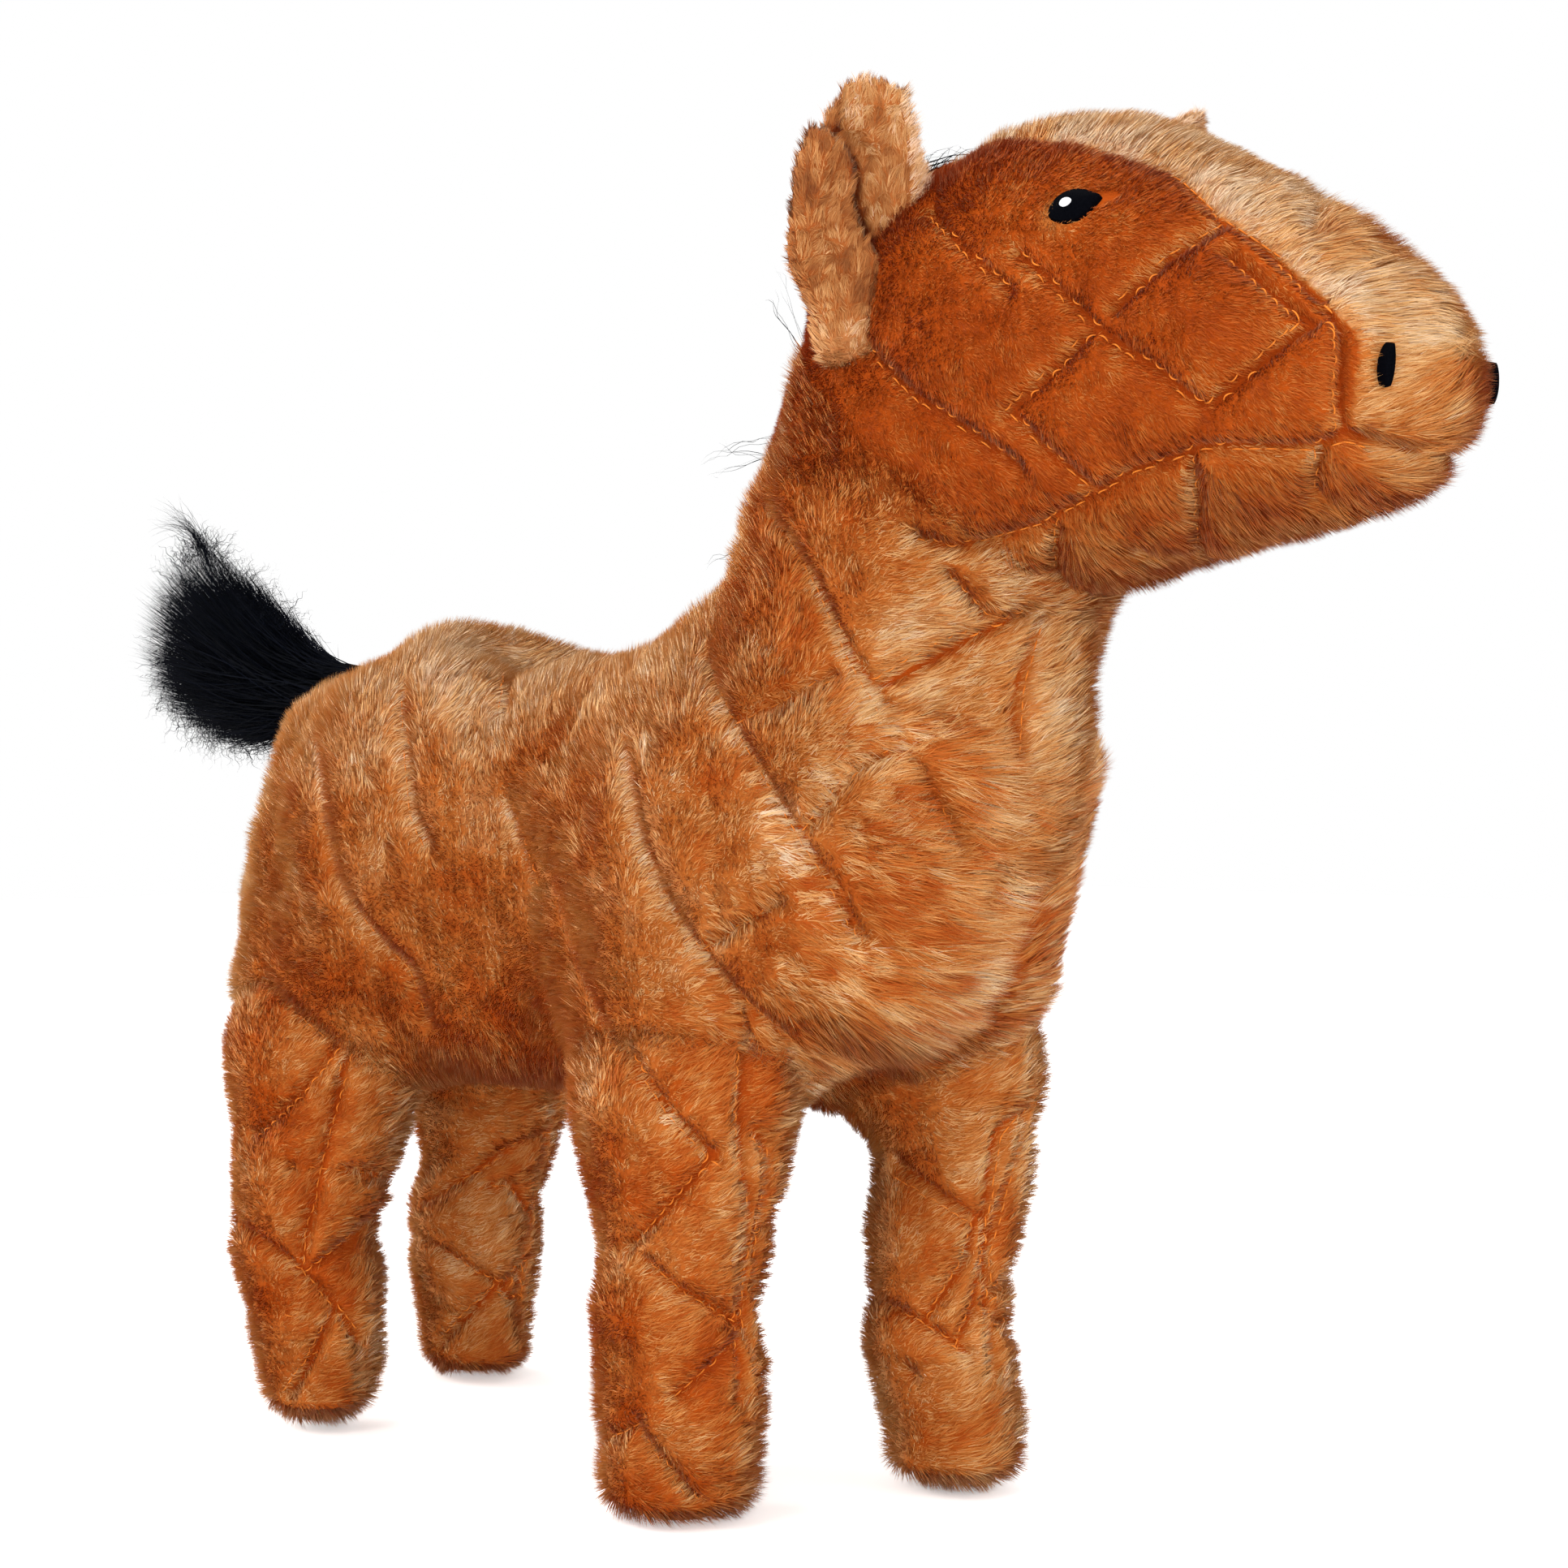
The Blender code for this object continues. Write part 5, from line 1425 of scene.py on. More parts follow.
class HorseColours(bpy.types.PropertyGroup):
    """Colours of the pile, hair and thread."""

    pile_root: bpy.props.FloatVectorProperty(
        name="Pile root", description="Colour at the foot of the pile",
        subtype="COLOR", default=linear(150, 60, 12)
    )
    pile_deep: bpy.props.FloatVectorProperty(
        name="Deep pile", description="Darkest, reddest pile",
        subtype="COLOR", default=linear(152, 58, 9)
    )
    pile_red: bpy.props.FloatVectorProperty(
        name="Reddish pile", description="Pile of the cheeks",
        subtype="COLOR", default=linear(186, 84, 20)
    )
    pile_tan: bpy.props.FloatVectorProperty(
        name="Tan pile", description="Pile of the body",
        subtype="COLOR", default=linear(205, 127, 57)
    )
    # The back reaches this tone through painted light where the skin faces up
    pile_light: bpy.props.FloatVectorProperty(
        name="Light pile", description="Brushed tips on the back",
        subtype="COLOR", default=linear(232, 182, 120)
    )
    pile_pale: bpy.props.FloatVectorProperty(
        name="Pale pile", description="Palest tips on the chest",
        subtype="COLOR", default=linear(242, 216, 182)
    )
    ear_deep: bpy.props.FloatVectorProperty(
        name="Deep ear pile", description="Darkest pile of the ears",
        subtype="COLOR", default=linear(96, 40, 14)
    )
    ear_red: bpy.props.FloatVectorProperty(
        name="Brown ear pile", description="Pile of the ears' folds",
        subtype="COLOR", default=linear(148, 88, 45)
    )
    ear_tan: bpy.props.FloatVectorProperty(
        name="Tan ear pile", description="Pile of the ears' linings",
        subtype="COLOR", default=linear(188, 120, 64)
    )
    ear_light: bpy.props.FloatVectorProperty(
        name="Light ear pile", description="Pale pile of the linings",
        subtype="COLOR", default=linear(218, 166, 108)
    )
    ear_pale: bpy.props.FloatVectorProperty(
        name="Pale ear pile", description="Fringe of the ears' edges",
        subtype="COLOR", default=linear(246, 212, 180)
    )
    hair: bpy.props.FloatVectorProperty(
        name="Hair", description="Black hair of the tail and mane",
        subtype="COLOR", default=linear(2, 3, 6)
    )
    hair_sheen: bpy.props.FloatVectorProperty(
        name="Hair sheen", description="Lightest strands of the black hair",
        subtype="COLOR", default=linear(9, 12, 21)
    )
    seam_thread: bpy.props.FloatVectorProperty(
        name="Sewing thread", description="Orange thread of the quilting",
        subtype="COLOR", default=linear(240, 146, 56)
    )
    floor: bpy.props.FloatVectorProperty(
        name="Floor", description="Colour of the floor",
        subtype="COLOR", default=(0.9, 0.9, 0.9)
    )


def shared_finishes():
    """The materials that several pieces have, made once."""
    look = bpy.context.scene.horse_colours
    if not PILE:
        PILE["pile"] = pile_finish("tan_pile", look)
        PILE["cloth"] = ground_finish("pile_ground", look)
        PILE["ear"] = pile_finish("ear_pile", look, "ear")
        PILE["ear_cloth"] = ground_finish("ear_ground", look, "ear")
        PILE["hair"] = hair_finish("black_hair", tuple(look.hair), tuple(look.hair_sheen))
        PILE["black"] = thread_finish("black_thread", linear(1, 1, 3), linear(7, 8, 13), 0.7, 0.01)
        PILE["white"] = thread_finish("white_thread", linear(206, 208, 214), linear(246, 246, 246), 0.4, 0.4)
        thread = tuple(look.seam_thread)
        PILE["orange"] = thread_finish("orange_thread", linear(196, 96, 22), thread, 0.6, 0.1)
    if not STITCHES:
        STITCHES.extend(quilting())
    return PILE


def wear(pieces, slot, *bodies, ends=None):
    """Puts pieces on the body they ride, or, where ends are given, bakes their place into their points; the
    slot is not used.
    """
    for found in pieces:
        if ends is None:
            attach(found, *bodies)
        else:
            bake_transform(found)


def dress(skin, label, slot, bodies, ends, replaced, tone, density, **pile_settings):
    """Puts a skin, its pile and its stitches on a body, or bakes them in place where ends are given, in place
    of the solids named.
    """
    finishes = shared_finishes()
    skin.tone = tone(skin.points, skin.normals) + mottle(skin.points)
    piece = skin_object(skin, label + "_skin", finishes["cloth"])
    pieces = [piece] + pile_on(skin, label + "_pile", density, material=finishes["pile"], **pile_settings)
    thread = stitches_on(skin, label + "_stitches", STITCHES, finishes["orange"])
    pieces += [thread] if thread else []
    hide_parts(*replaced)
    wear(pieces, slot, *bodies, ends=ends)


class HORSE_OT_torso(bpy.types.Operator):
    """Makes the torso's quilted skin and its pile"""

    bl_idname = "plush_horse.torso"
    bl_label = "Torso"

    def execute(self, context):
        shared_finishes()
        skin = Skin("torso", row_places(44, 160, 44), 240, STITCHES)
        dress(
            skin, "torso", "long_pile", ("torso",), None,
            ("torso_side_left", "torso_side_right", "belly_gusset", "torso_filling"),
            torso_tone, context.scene.horse_sizes.pile_density, length=torso_length, comb=body_comb,
            rise=body_stand, pull=body_pull, seed=100,
        )
        return {"FINISHED"}


class HORSE_OT_neck(bpy.types.Operator):
    """Makes the neck's quilted skin and its pile"""

    bl_idname = "plush_horse.neck"
    bl_label = "Neck"

    def execute(self, context):
        shared_finishes()
        sizes = context.scene.horse_sizes
        skin = Skin("neck", row_places(40, 80, 0), 190, STITCHES)
        ends = [tuple(JOINTS["neck_bend"] + (0, 0, rise)) for rise in NECK_BEND_REACH]
        dress(
            skin, "neck", "long_pile", ("torso", "neck"), ends,
            ("neck_side_left", "neck_side_right", "neck_filling"), neck_tone, sizes.pile_density,
            length=sizes.neck_pile, comb=straight(NAP), rise=0.66, seed=200,
        )
        return {"FINISHED"}


class HORSE_OT_head(bpy.types.Operator):
    """Makes the head's quilted skin and its pile"""

    bl_idname = "plush_horse.head"
    bl_label = "Head"

    def execute(self, context):
        shared_finishes()
        bare = bare_spots()
        skin = Skin("head", row_places(36, 150, 36), 200, STITCHES, bare)
        dress(
            skin, "head", "cheek_pile", ("head",), None,
            ("cheek_left", "cheek_right", "forehead_gusset", "chin_gusset", "nose_panel", "head_filling"),
            head_tone, context.scene.horse_sizes.pile_density * 1.4, length=head_length, comb=head_comb,
            # A stronger painted highlight over the head's seams
            rise=head_stand, pull=head_pull, bevel=0.36, width=0.000185, seed=300, bare=bare,
        )
        return {"FINISHED"}


class HORSE_OT_legs(bpy.types.Operator):
    """Makes the four legs' skins and pile"""

    bl_idname = "plush_horse.legs"
    bl_label = "Legs"

    def execute(self, context):
        shared_finishes()
        for i, word in enumerate(LEGS):
            skin = Skin(word, row_places(20, 100, 0), 110, STITCHES)
            ends = [tuple(JOINTS["leg_swing_" + word] + (0, 0, rise)) for rise in LEG_BEND_REACH]
            dress(
                skin, "leg_" + word, "long_pile", ("torso", "leg_" + word), ends,
                (f"leg_{word}_outer", f"leg_{word}_inner", f"leg_{word}_filling", f"sole_{word}"),
                leg_tone, context.scene.horse_sizes.pile_density, length=leg_length, comb=straight(LEG_NAP),
                rise=leg_stand, pull=leg_pull, seed=400 + 10 * i,
            )
        return {"FINISHED"}


class HORSE_OT_ears(bpy.types.Operator):
    """Makes both ears' skins and pile, darker behind and paler inside"""

    bl_idname = "plush_horse.ears"
    bl_label = "Ears"

    def execute(self, context):
        finishes = shared_finishes()
        sizes = context.scene.horse_sizes
        for side, word in ((RIGHT, "right"), (LEFT, "left")):
            skin = EarSkin(side)
            up = ear_matrix(side) @ np.array([0.0, 0.0, 1.0])
            past_edge = up * 0.8 - side * ear_matrix(side) @ np.array([0.0, 0.6, 0.0])
            root = JOINTS["ear_fold_" + word]
            high = dot(skin.points - root, up) / EAR["height"]
            patches = noise(skin.points, 0.0022, 78) * 0.12 + noise(skin.points, 0.0070, 80) * 0.10
            inner = skin.lining & (skin.flap < 0.5)
            skin.tone = np.where(inner, 0.56, 0.42) + patches + 0.25 * ease(-high, -0.16, 0.02)
            # Painted shade: darker in the crease beside the fold
            skin.tone += 0.12 * ease(high, 0.85, 1.05) - 0.95 * skin.near
            piece = skin_object(skin, f"ear_{word}_skin", finishes["ear_cloth"])
            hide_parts("ear_back_" + word, "ear_lining_" + word)
            pieces = [piece] + pile_on(
                skin, f"ear_{word}_pile", sizes.pile_density * 2.2, sizes.ear_pile,
                straight(up), finishes["ear"], 500 + side,
                width=0.00018, keep=skin.rim > -0.97, pull=0.5,
            )
            skin.tone = np.full(len(skin.points), 0.92)
            pieces += pile_on(
                skin, f"ear_{word}_edge_pile", sizes.pile_density * 2.6, sizes.ear_pile * 1.5,
                straight(past_edge), finishes["ear"], 520 + side,
                rise=0.45, width=0.00018, keep=skin.rim < -0.78,
            )
            ends = [tuple(root + up * step) for step in EAR_BEND_REACH]
            wear(pieces, "ear_pile", "head", "ear_" + word, ends=ends)
        return {"FINISHED"}


# The eye's white highlight, the height of a satin thread, and how deep a badge's edge is drawn in
GLINT_SIZE = (0.0028, 0.0020)
THREAD_HEIGHT = 0.00012
BADGE_EDGE = 0.0025


def badge_grid(form, badge, side, sides, rings, lift, rise, point, lens, shift, threads):
    """A raised leaf of satin stitch on a form: cos by sin to the power 1 + lens, drawn out at its front end.

    Its height is lift + rise * (1 - ring share squared) to the power 0.6, with a round ridge for each thread.
    """
    along, around, tilt = badge_place(badge, side)
    normal, ahead, aside = form.facing(along, around)
    turn = np.linspace(0, WHOLE_TURN, sides, endpoint=False)[None, :]
    ring = np.linspace(0, 1, rings)[:, None]
    reach = ring * (1 + point * np.maximum(np.cos(turn), 0) ** 6)
    flat_x = reach * np.cos(turn) * badge["size"][0] / 2 + shift
    flat_y = ring * np.sin(turn) * np.abs(np.sin(turn)) ** lens * badge["size"][1] / 2
    run = flat_x * math.cos(tilt) - flat_y * math.sin(tilt)
    climb = flat_x * math.sin(tilt) + flat_y * math.cos(tilt)
    found = form.points(along + run / np.linalg.norm(ahead), around + climb / np.linalg.norm(aside))
    pitch = badge["size"][0] / threads
    ridge = np.abs(np.cos(np.pi * (flat_x + 0.25 * flat_y) / pitch)) * THREAD_HEIGHT
    dome = (1 - ring**2).clip(0) ** 0.6
    edge = ease(ring, 1.0, 0.86)
    height = lift + rise * dome + ridge * edge - BADGE_EDGE * ease(ring, 0.93, 1.0)
    return found + height[..., None] * normal


def badge_object(name, grid, material, flip):
    """A badge's grid as a mesh, its first ring drawn to one point."""
    rings, sides = grid.shape[:2]
    points = np.concatenate([grid[1:].reshape(-1, 3), grid[0, :1]])
    quads = ring_quads(rings - 1, sides)[..., [0, 3, 2, 1]].reshape(-1, 4)
    ring = np.arange(sides)
    lids = np.stack([np.full_like(ring, len(points) - 1), ring, (ring + 1) % sides], axis=1)
    if flip:
        quads, lids = quads[:, ::-1], lids[:, ::-1]
    return mesh_object(name, points, [quads, lids], material)


class HORSE_OT_face(bpy.types.Operator):
    """Makes the satin-stitched eyes with their highlights, and the nostrils"""

    bl_idname = "plush_horse.face"
    bl_label = "Face"

    def execute(self, context):
        finishes = shared_finishes()
        head = FORMS["head"]
        for side, word in ((RIGHT, "right"), (LEFT, "left")):
            glint = {**EYE, "size": GLINT_SIZE}
            rows = (
                ("eye_" + word, EYE, 200, 0.0021, 0.0014, 0.16, 0.40, 0.0, 34, "black"),
                ("eye_highlight_" + word, glint, 80, 0.0034, 0.0007, 0.0, 0.2, -0.0010, 10, "white"),
                ("nostril_" + word, NOSTRIL, 120, 0.0020, 0.0006, 0.05, 0.50, 0.0, 30, "black"),
            )
            for name, badge, sides, lift, rise, point, lens, shift, threads, finish in rows:
                rings = sides // 5
                grid = badge_grid(head, badge, side, sides, rings, lift, rise, point, lens, shift, threads)
                across = np.cross(grid[5, sides // 4] - grid[5, 0], grid[rings // 2, 0] - grid[0, 0])
                outward = head.facing(*badge_place(badge, side)[:2])[0]
                piece = badge_object(name + "_thread", grid, finishes[finish], dot(across, outward) > 0)
                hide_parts(name)
                wear([piece], finish + "_thread", "head")
        return {"FINISHED"}


def lock_mesh(name, roots, controls, widths, tones, material, seed, steps=6, curl=0.0, turns=2.5):
    """Long locks of hair: ribbons that narrow to a tip, each along a cubic curve with four control points.

    Curled hair winds round its curve: curl * share of length * (side * sin + across * cos) of its turns.
    """
    rng = np.random.default_rng(seed)
    t = np.linspace(0, 1, steps + 1)[None, :, None]
    a, b, c, d = (points[:, None, :] for points in (roots, *controls))
    line = (1 - t) ** 3 * a + 3 * (1 - t) ** 2 * t * b + 3 * (1 - t) * t**2 * c + t**3 * d
    ahead = unit(np.gradient(line, axis=1))
    count = len(roots)
    spin = unit(rng.normal(0, 1, (count, 3)))[:, None, :]
    side = unit(np.cross(ahead, spin))
    if curl:
        wound = t * turns * rng.uniform(0.6, 1.4, (count, 1, 1))
        angle = WHOLE_TURN * (wound + rng.uniform(0, 1, (count, 1, 1)))
        line = line + curl * np.sqrt(t) * (side * np.sin(angle) + np.cross(ahead, side) * np.cos(angle))
    half = side * (widths[:, None, None] / 2) * np.maximum(1 - t**2.2, 0.05)
    pairs = np.stack([line - half, line + half], axis=2)
    body = pairs[:, :-1].reshape(count, -1, 3)
    points = np.concatenate([body, line[:, -1:]], axis=1)
    per = points.shape[1]
    start = per * np.arange(count)[:, None, None]
    rung = 2 * np.arange(steps - 1)[None, :, None]
    quads = (start + rung + np.array([0, 1, 3, 2])).reshape(-1, 4)
    tips = (start[:, 0] + np.array([per - 3, per - 2, per - 1])).reshape(-1, 3)
    low = uv_column(tones)
    low_quads = np.repeat(low, steps - 1)
    high_quads = low_quads + UV_STRIP
    v0 = np.tile(np.arange(steps - 1) / steps, count)
    v1 = v0 + 1 / steps
    quad_uvs = np.stack([low_quads, v0, high_quads, v0, high_quads, v1, low_quads, v1], axis=1)
    v2 = np.full(count, (steps - 1) / steps)
    tip_uvs = np.stack([low, v2, low + UV_STRIP, v2, low + UV_STRIP / 2, np.ones(count)], axis=1)
    uvs = np.concatenate([quad_uvs.reshape(-1, 2), tip_uvs.reshape(-1, 2)])
    return mesh_object(name, points.reshape(-1, 3), [quads, tips], material, uvs)


def in_photo_plane(pixels, y=0.0):
    """Points of the horse's middle plane, moved left by y, that the camera sees at these pixels."""
    rays = camera_rays(pixels)
    reach = (HORSE_PLACE[1] + y - CAMERA_PLACE[1]) / rays[:, 1]
    return CAMERA_PLACE + rays * reach[:, None]


TAIL_OUTLINE = (
    (401, 800), (357, 768), (327, 737), (290, 708), (264, 680), (246, 662), (236, 672),
    (230, 706), (222, 748), (212, 800), (208, 837), (216, 872), (240, 902), (272, 920), (306, 928),
    (340, 936),
)
# Long wisps that leave the tail's top, and loose hairs behind the neck and by the right ear
WISP = ((262, 700), (248, 657), (226, 640), (200, 636))
LOOSE_HAIRS = (
    ((975, 470), (940, 520), (905, 560), (862, 566)), ((968, 480), (930, 545), (900, 580), (868, 590)),
    ((950, 520), (925, 550), (896, 560), (880, 545)), ((990, 440), (960, 400), (945, 372), (950, 362)),
    ((985, 430), (968, 380), (958, 345), (966, 330)), ((905, 665), (890, 672), (884, 690), (872, 694)),
    ((1140, 250), (1136, 230), (1130, 212), (1138, 190)),
    ((1144, 240), (1134, 216), (1142, 200), (1136, 186)),
)
# Where the tail's hair starts from its joint, and half the size of the round in which it starts
TAIL_DOCK = (0.004, 0.0, -0.002)
TAIL_ROOT = (0.0085, 0.0085, 0.0095)
# How far the tail bulges to each side, how many short curls fray it and how many hairs its wisp has
TAIL_BULGE = 0.020
FRIZZ_HAIRS = 1800
WISP_HAIRS = 70
# How far a wisp's hairs part at each of its four points
WISP_SPREAD = np.array([0.0015, 0.0012, 0.0016, 0.0036])[:, None, None]
# The least and most breadth of a loose hair
FINE_HAIR = (0.00010, 0.00018)


class HORSE_OT_tail(bpy.types.Operator):
    """Makes the tail's brush of long black hair"""

    bl_idname = "plush_horse.tail"
    bl_label = "Tail"

    def execute(self, context):
        finishes = shared_finishes()
        rng = np.random.default_rng(600)
        count = context.scene.horse_sizes.tail_hairs
        outline = in_photo_plane(stroke(TAIL_OUTLINE, 4))
        steps = np.arange(len(outline))
        at = rng.uniform(0, 1, count) ** 0.62
        edge = read_off(at * steps[-1], steps, outline)
        fill = rng.uniform(0.1, 1, count) ** 0.45
        reach = rng.uniform(0.86, 1.03, count)
        around = unit(rng.normal(0, 1, (count, 3)))
        roots = around * TAIL_ROOT * rng.uniform(0, 1, count)[:, None] ** 0.5
        roots += JOINTS["tail_swing"] + TAIL_DOCK
        aim = outline[len(outline) // 2] * 0.5 + outline.mean(axis=0) * 0.5
        ends = aim + (edge - aim) * (fill * reach)[:, None]
        bulge = TAIL_BULGE * np.sqrt(np.maximum(1 - fill**2, 0.02))
        ends[:, 1] += rng.choice([-1, 1], count) * bulge * rng.uniform(0.2, 1, count)
        back = np.array([-1.0, 0.0, 0.05])
        far = np.linalg.norm(ends - roots, axis=1)[:, None]
        first = roots + back * far * 0.35 + (ends - roots) * (0.0, 0.5, 0.0)
        second = ends - unit(ends - roots) * far * 0.25 + rng.normal(0, 0.0016, (count, 3))
        second[:, 2] -= 0.004
        ends = ends + rng.normal(0, 0.0012, (count, 3)) + noise(ends, 0.006, 61, 3) * 0.002
        widths = rng.uniform(0.00020, 0.00042, count)
        tones = rng.uniform(0, 1, count) ** 2
        lengths = (first, second, ends)
        count = FRIZZ_HAIRS
        edge = read_off(rng.uniform(0.06, 0.97, count) * steps[-1], steps, outline)
        out = unit(edge - aim)
        start = aim + (edge - aim) * rng.uniform(0.80, 1.0, count)[:, None]
        start = start + rng.normal(0, 0.003, (count, 3)) * (0, 1, 0)
        way = unit(out * rng.uniform(-0.2, 1.0, count)[:, None] + rng.normal(0, 0.6, (count, 3)))
        long = rng.uniform(0.0035, 0.0095, count)[:, None]
        bend = (start + way * long * 0.4, start + (way + out * 0.3) * long * 0.6, start + way * long)
        frizz = lock_mesh(
            "tail_frizz", start, bend, rng.uniform(*FINE_HAIR, count), rng.uniform(0, 1, count),
            finishes["hair"], 603, 10, 0.0006,
        )
        count = WISP_HAIRS
        wisp = in_photo_plane(WISP)[:, None] + rng.normal(0, 1, (4, count, 3)) * WISP_SPREAD
        wisps = lock_mesh(
            "tail_wisps", wisp[0], wisp[1:], rng.uniform(0.00010, 0.00020, count),
            rng.uniform(0, 1, count), finishes["hair"], 604, 14, 0.0003,
        )
        wear([frizz, wisps], "black_hair", "tail")
        piece = lock_mesh("tail_hair", roots, lengths, widths, tones, finishes["hair"], 601)
        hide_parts("tail_dock", "tail_tuft")
        wear([piece], "black_hair", "tail")
        return {"FINISHED"}


class HORSE_OT_mane(bpy.types.Operator):
    """Makes the mane along the crest, down the left side, and the tuft between the ears"""

    bl_idname = "plush_horse.mane"
    bl_label = "Mane"

    def execute(self, context):
        finishes = shared_finishes()
        rng = np.random.default_rng(700)
        count = context.scene.horse_sizes.mane_hairs
        neck = FORMS["neck"]
        along = rng.uniform(0.36, 0.97, count)
        turn = math.radians(88) + rng.normal(0, math.radians(5), count)
        roots = neck.points(along, turn, 0.0015)
        low = math.radians(24) + rng.uniform(0, math.radians(16), count)
        drop = rng.normal(0, 0.03, count)
        first = neck.points(along - 0.02, turn - math.radians(14), 0.0115)
        second = neck.points(along - 0.05 + drop, (turn + low) / 2, 0.0105)
        ends = neck.points(along - 0.12 + drop, low, 0.0075)
        for points in (first, second, ends):
            points += rng.normal(0, 0.0009, (count, 3))
        widths = rng.uniform(0.00022, 0.00042, count)
        tones = rng.uniform(0, 1, count) ** 2
        mane = lock_mesh("mane_hair", roots, (first, second, ends), widths, tones, finishes["hair"], 701)
        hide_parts("mane")
        wear([mane], "black_hair", "neck")
        for label, hairs, form, rows, aside in (
            ("neck", LOOSE_HAIRS[:6], neck, (0.30, 0.97), 0.018),
            ("head", LOOSE_HAIRS[6:], FORMS["head"], (-0.48, 0.1), 0.004),
        ):
            loose = np.stack([in_photo_plane(hair, aside) for hair in hairs], axis=1)
            crest = form.points(np.linspace(*rows, 40), math.radians(86), 0.001)
            gaps = np.linalg.norm(loose[0][:, None] - crest, axis=2)
            loose[0] = crest[gaps.argmin(axis=1)]
            loose = np.repeat(loose, 3, axis=1)
            loose = loose + rng.normal(0, 0.0012, loose.shape)
            many = loose.shape[1]
            strays = lock_mesh(
                "loose_hair_" + label, loose[0], loose[1:], rng.uniform(*FINE_HAIR, many),
                rng.uniform(0, 1, many), finishes["hair"], 703, 14, 0.0006,
            )
            wear([strays], "black_hair", label)
        head = FORMS["head"]
        count //= 5
        along = rng.uniform(-0.48, 0.0, count)
        turn = QUARTER_TURN + rng.normal(0, math.radians(7), count)
        roots = head.points(along, turn, 0.001)
        ahead = rng.uniform(0.02, 0.10, count)
        first = head.points(along + 0.02, turn + rng.normal(0, 0.1, count), 0.008)
        second = head.points(along + ahead, turn + rng.normal(0, 0.2, count), 0.0085)
        ends = head.points(along + ahead + 0.06, turn + rng.normal(0, 0.3, count), 0.0045)
        widths = rng.uniform(0.00022, 0.0004, count)
        tones = rng.uniform(0, 1, count) ** 2
        poll = lock_mesh("poll_hair", roots, (first, second, ends), widths, tones, finishes["hair"], 702)
        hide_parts("poll_tuft")
        wear([poll], "black_hair", "head")
        return {"FINISHED"}


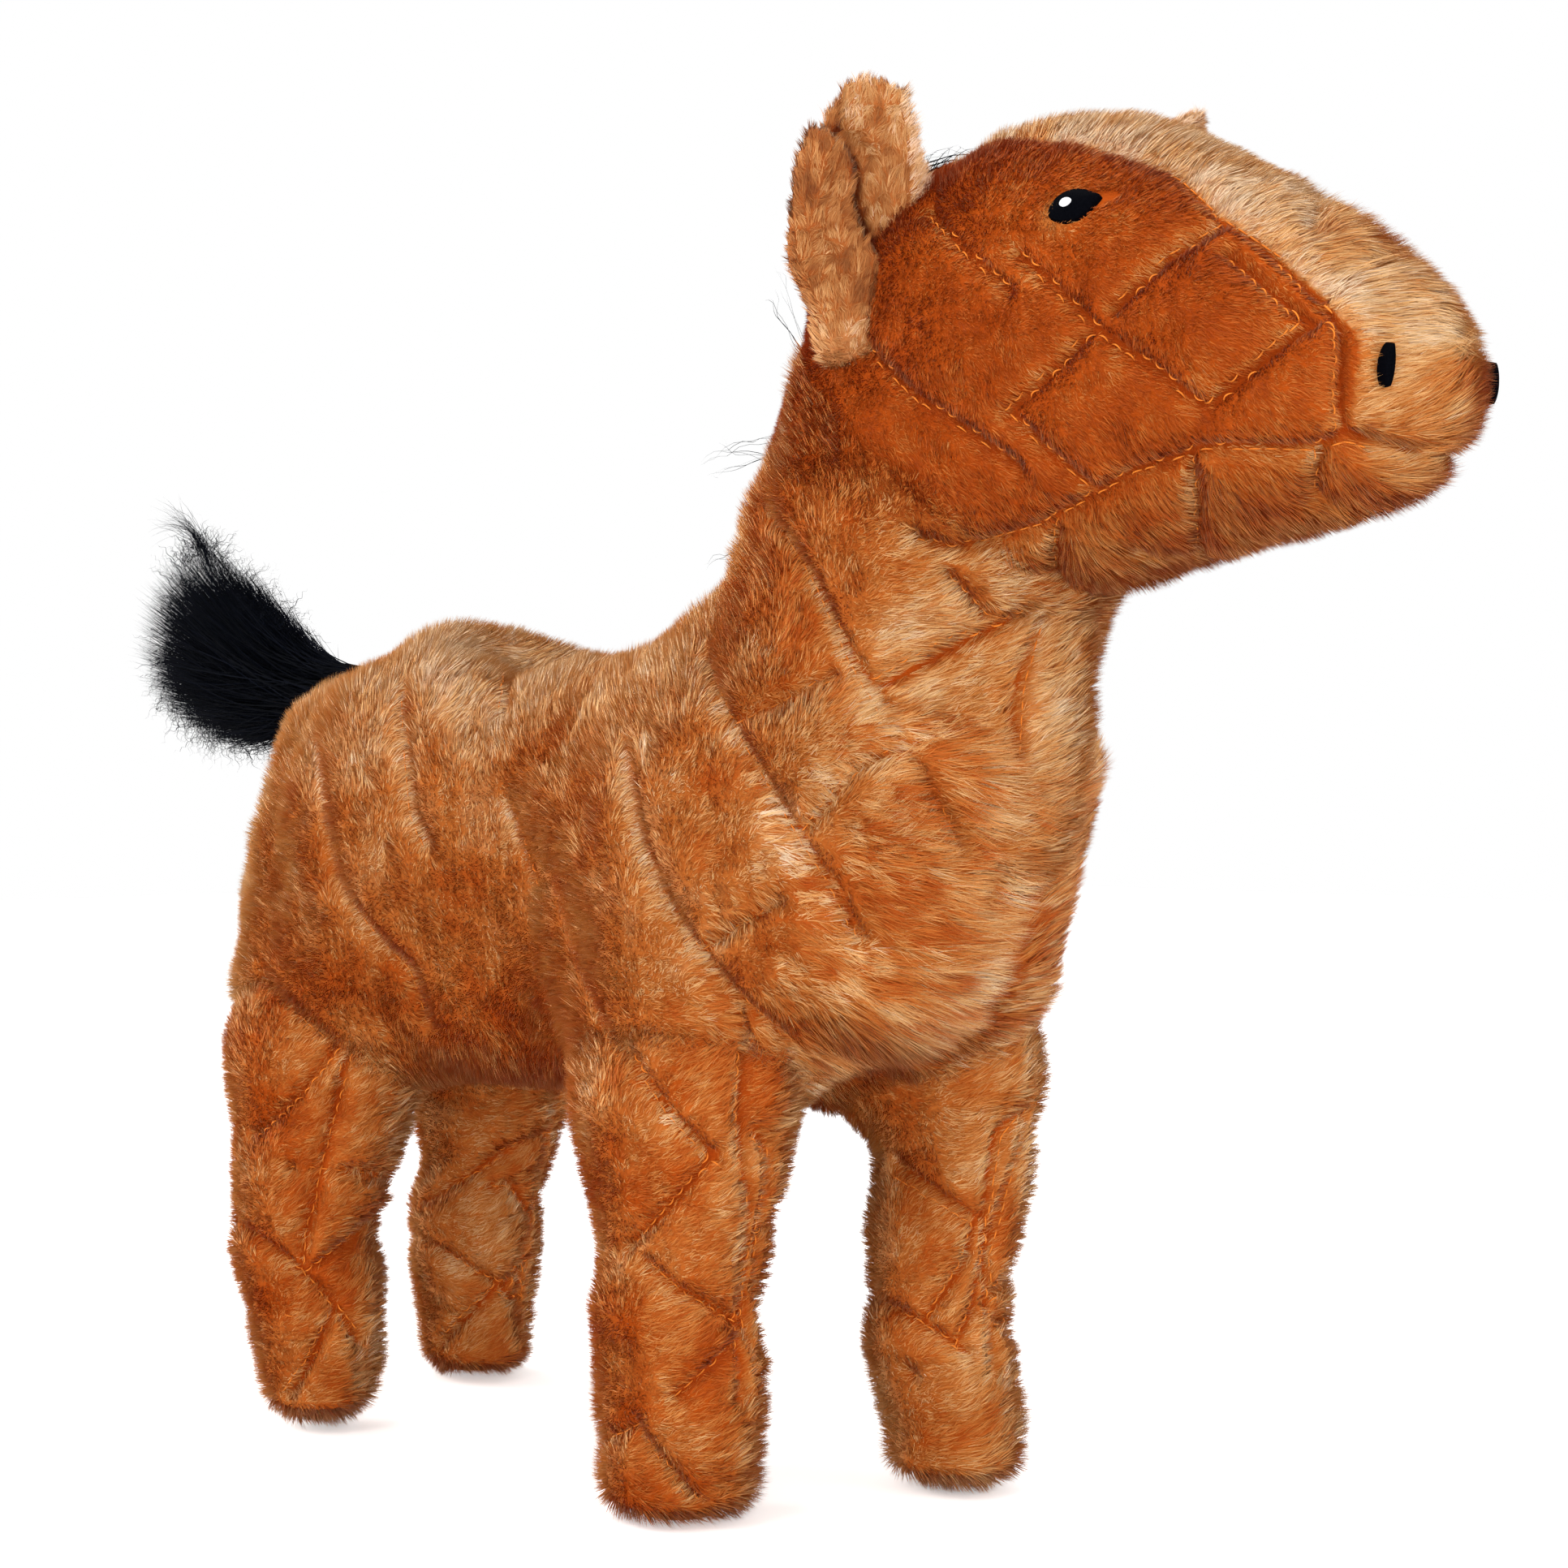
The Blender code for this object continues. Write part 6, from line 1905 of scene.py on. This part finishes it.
class HORSE_OT_stage(bpy.types.Operator):
    """Sets up the camera, the floor, the backdrop and the studio light"""

    bl_idname = "plush_horse.stage"
    bl_label = "Stage"

    def execute(self, context):
        scene = context.scene
        camera = bpy.data.cameras.new("photo_camera")
        camera.sensor_width = SENSOR
        camera.lens = PHOTO_FOCAL / PHOTO_SIDE * SENSOR
        camera.clip_start = 0.01
        eye = bpy.data.objects.new("photo_camera", camera)
        eye.location = CAMERA_PLACE
        eye.rotation_euler = (QUARTER_TURN, 0.0, math.radians(45))
        scene.collection.objects.link(eye)
        scene.camera = eye
        floor = Finish("floor", Roughness=0.9, Specular_IOR_Level=0.1)
        seen_floor = floor.node("ShaderNodeLightPath", None, None, 0)
        floor.set(Base_Color=tuple(scene.horse_colours.floor), Emission_Strength=seen_floor * 0.42)
        floor.set(Emission_Color=(1.0, 1.0, 1.0))
        side = 3.0
        corners = np.array([(-side, -side, 0), (side, -side, 0), (side, side, 0), (-side, side, 0)], float)
        ground = mesh_object("floor", corners, np.array([[0, 1, 2, 3]]), floor.material)
        world = bpy.data.worlds.new("studio")
        world.use_nodes = True
        tree = world.node_tree
        background = tree.nodes["Background"]
        path = tree.nodes.new("ShaderNodeLightPath")
        seen = tree.nodes.new("ShaderNodeMath")
        seen.operation = "MAXIMUM"
        tree.links.new(path.outputs["Is Camera Ray"], seen.inputs[0])
        tree.links.new(path.outputs["Is Glossy Ray"], seen.inputs[1])
        level = tree.nodes.new("ShaderNodeMix")
        level.inputs[2].default_value = 0.92
        level.inputs[3].default_value = 1.0
        tree.links.new(seen.outputs[0], level.inputs[0])
        tree.links.new(level.outputs[0], background.inputs["Strength"])
        background.inputs["Color"].default_value = (1, 1, 1, 1)
        scene.world = world
        for name, place, size, energy in (
            ("key_light", (0.25, -1.15, 1.15), 0.7, 7.0),
            ("fill_light", (1.35, 0.15, 0.60), 0.9, 5.0),
            ("top_light", (-0.40, -0.05, 1.45), 0.8, 9.0),
            ("low_light", (0.75, -0.85, 0.22), 0.5, 4.2),
            ("left_light", (-1.25, -0.45, 0.50), 0.9, 16.0),
        ):
            lamp = bpy.data.lights.new(name, "AREA")
            lamp.shape = "DISK"
            lamp.size = size
            lamp.energy = energy
            holder = bpy.data.objects.new(name, lamp)
            holder.location = place
            aim = np.array([0.0, 0.0, 0.15]) - np.array(place)
            flat = math.hypot(aim[0], aim[1])
            holder.rotation_euler = (math.atan2(flat, -aim[2]), 0.0, math.atan2(-aim[0], aim[1]))
            scene.collection.objects.link(holder)
        scene.view_settings.view_transform = "Standard"
        return {"FINISHED"}


OPERATORS = (
    HORSE_OT_torso, HORSE_OT_neck, HORSE_OT_head, HORSE_OT_legs, HORSE_OT_ears, HORSE_OT_face, HORSE_OT_tail,
    HORSE_OT_mane, HORSE_OT_stage,
)


class HORSE_PT_panel(bpy.types.Panel):
    """Lists the horse's pieces, sizes and colours in the sidebar"""

    bl_label = "Plush Horse"
    bl_idname = "HORSE_PT_panel"
    bl_space_type = "VIEW_3D"
    bl_region_type = "UI"
    bl_category = "Plush Horse"

    def draw(self, context):
        layout = self.layout
        for group in (context.scene.horse_sizes, context.scene.horse_colours):
            box = layout.box()
            for name in group.bl_rna.properties.keys():
                if name not in ("rna_type", "name"):
                    box.prop(group, name)
        for operator in OPERATORS:
            layout.operator(operator.bl_idname)


CLASSES = (HorseSizes, HorseColours, *OPERATORS, HORSE_PT_panel)


def register():
    for found in CLASSES:
        bpy.utils.register_class(found)
    bpy.types.Scene.horse_sizes = bpy.props.PointerProperty(type=HorseSizes)
    bpy.types.Scene.horse_colours = bpy.props.PointerProperty(type=HorseColours)


def unregister():
    del bpy.types.Scene.horse_colours
    del bpy.types.Scene.horse_sizes
    for found in reversed(CLASSES):
        bpy.utils.unregister_class(found)


def main():
    register()
    for operator in OPERATORS:
        group, name = operator.bl_idname.split(".")
        getattr(getattr(bpy.ops, group), name)()


if __name__ == "__main__":
    main()
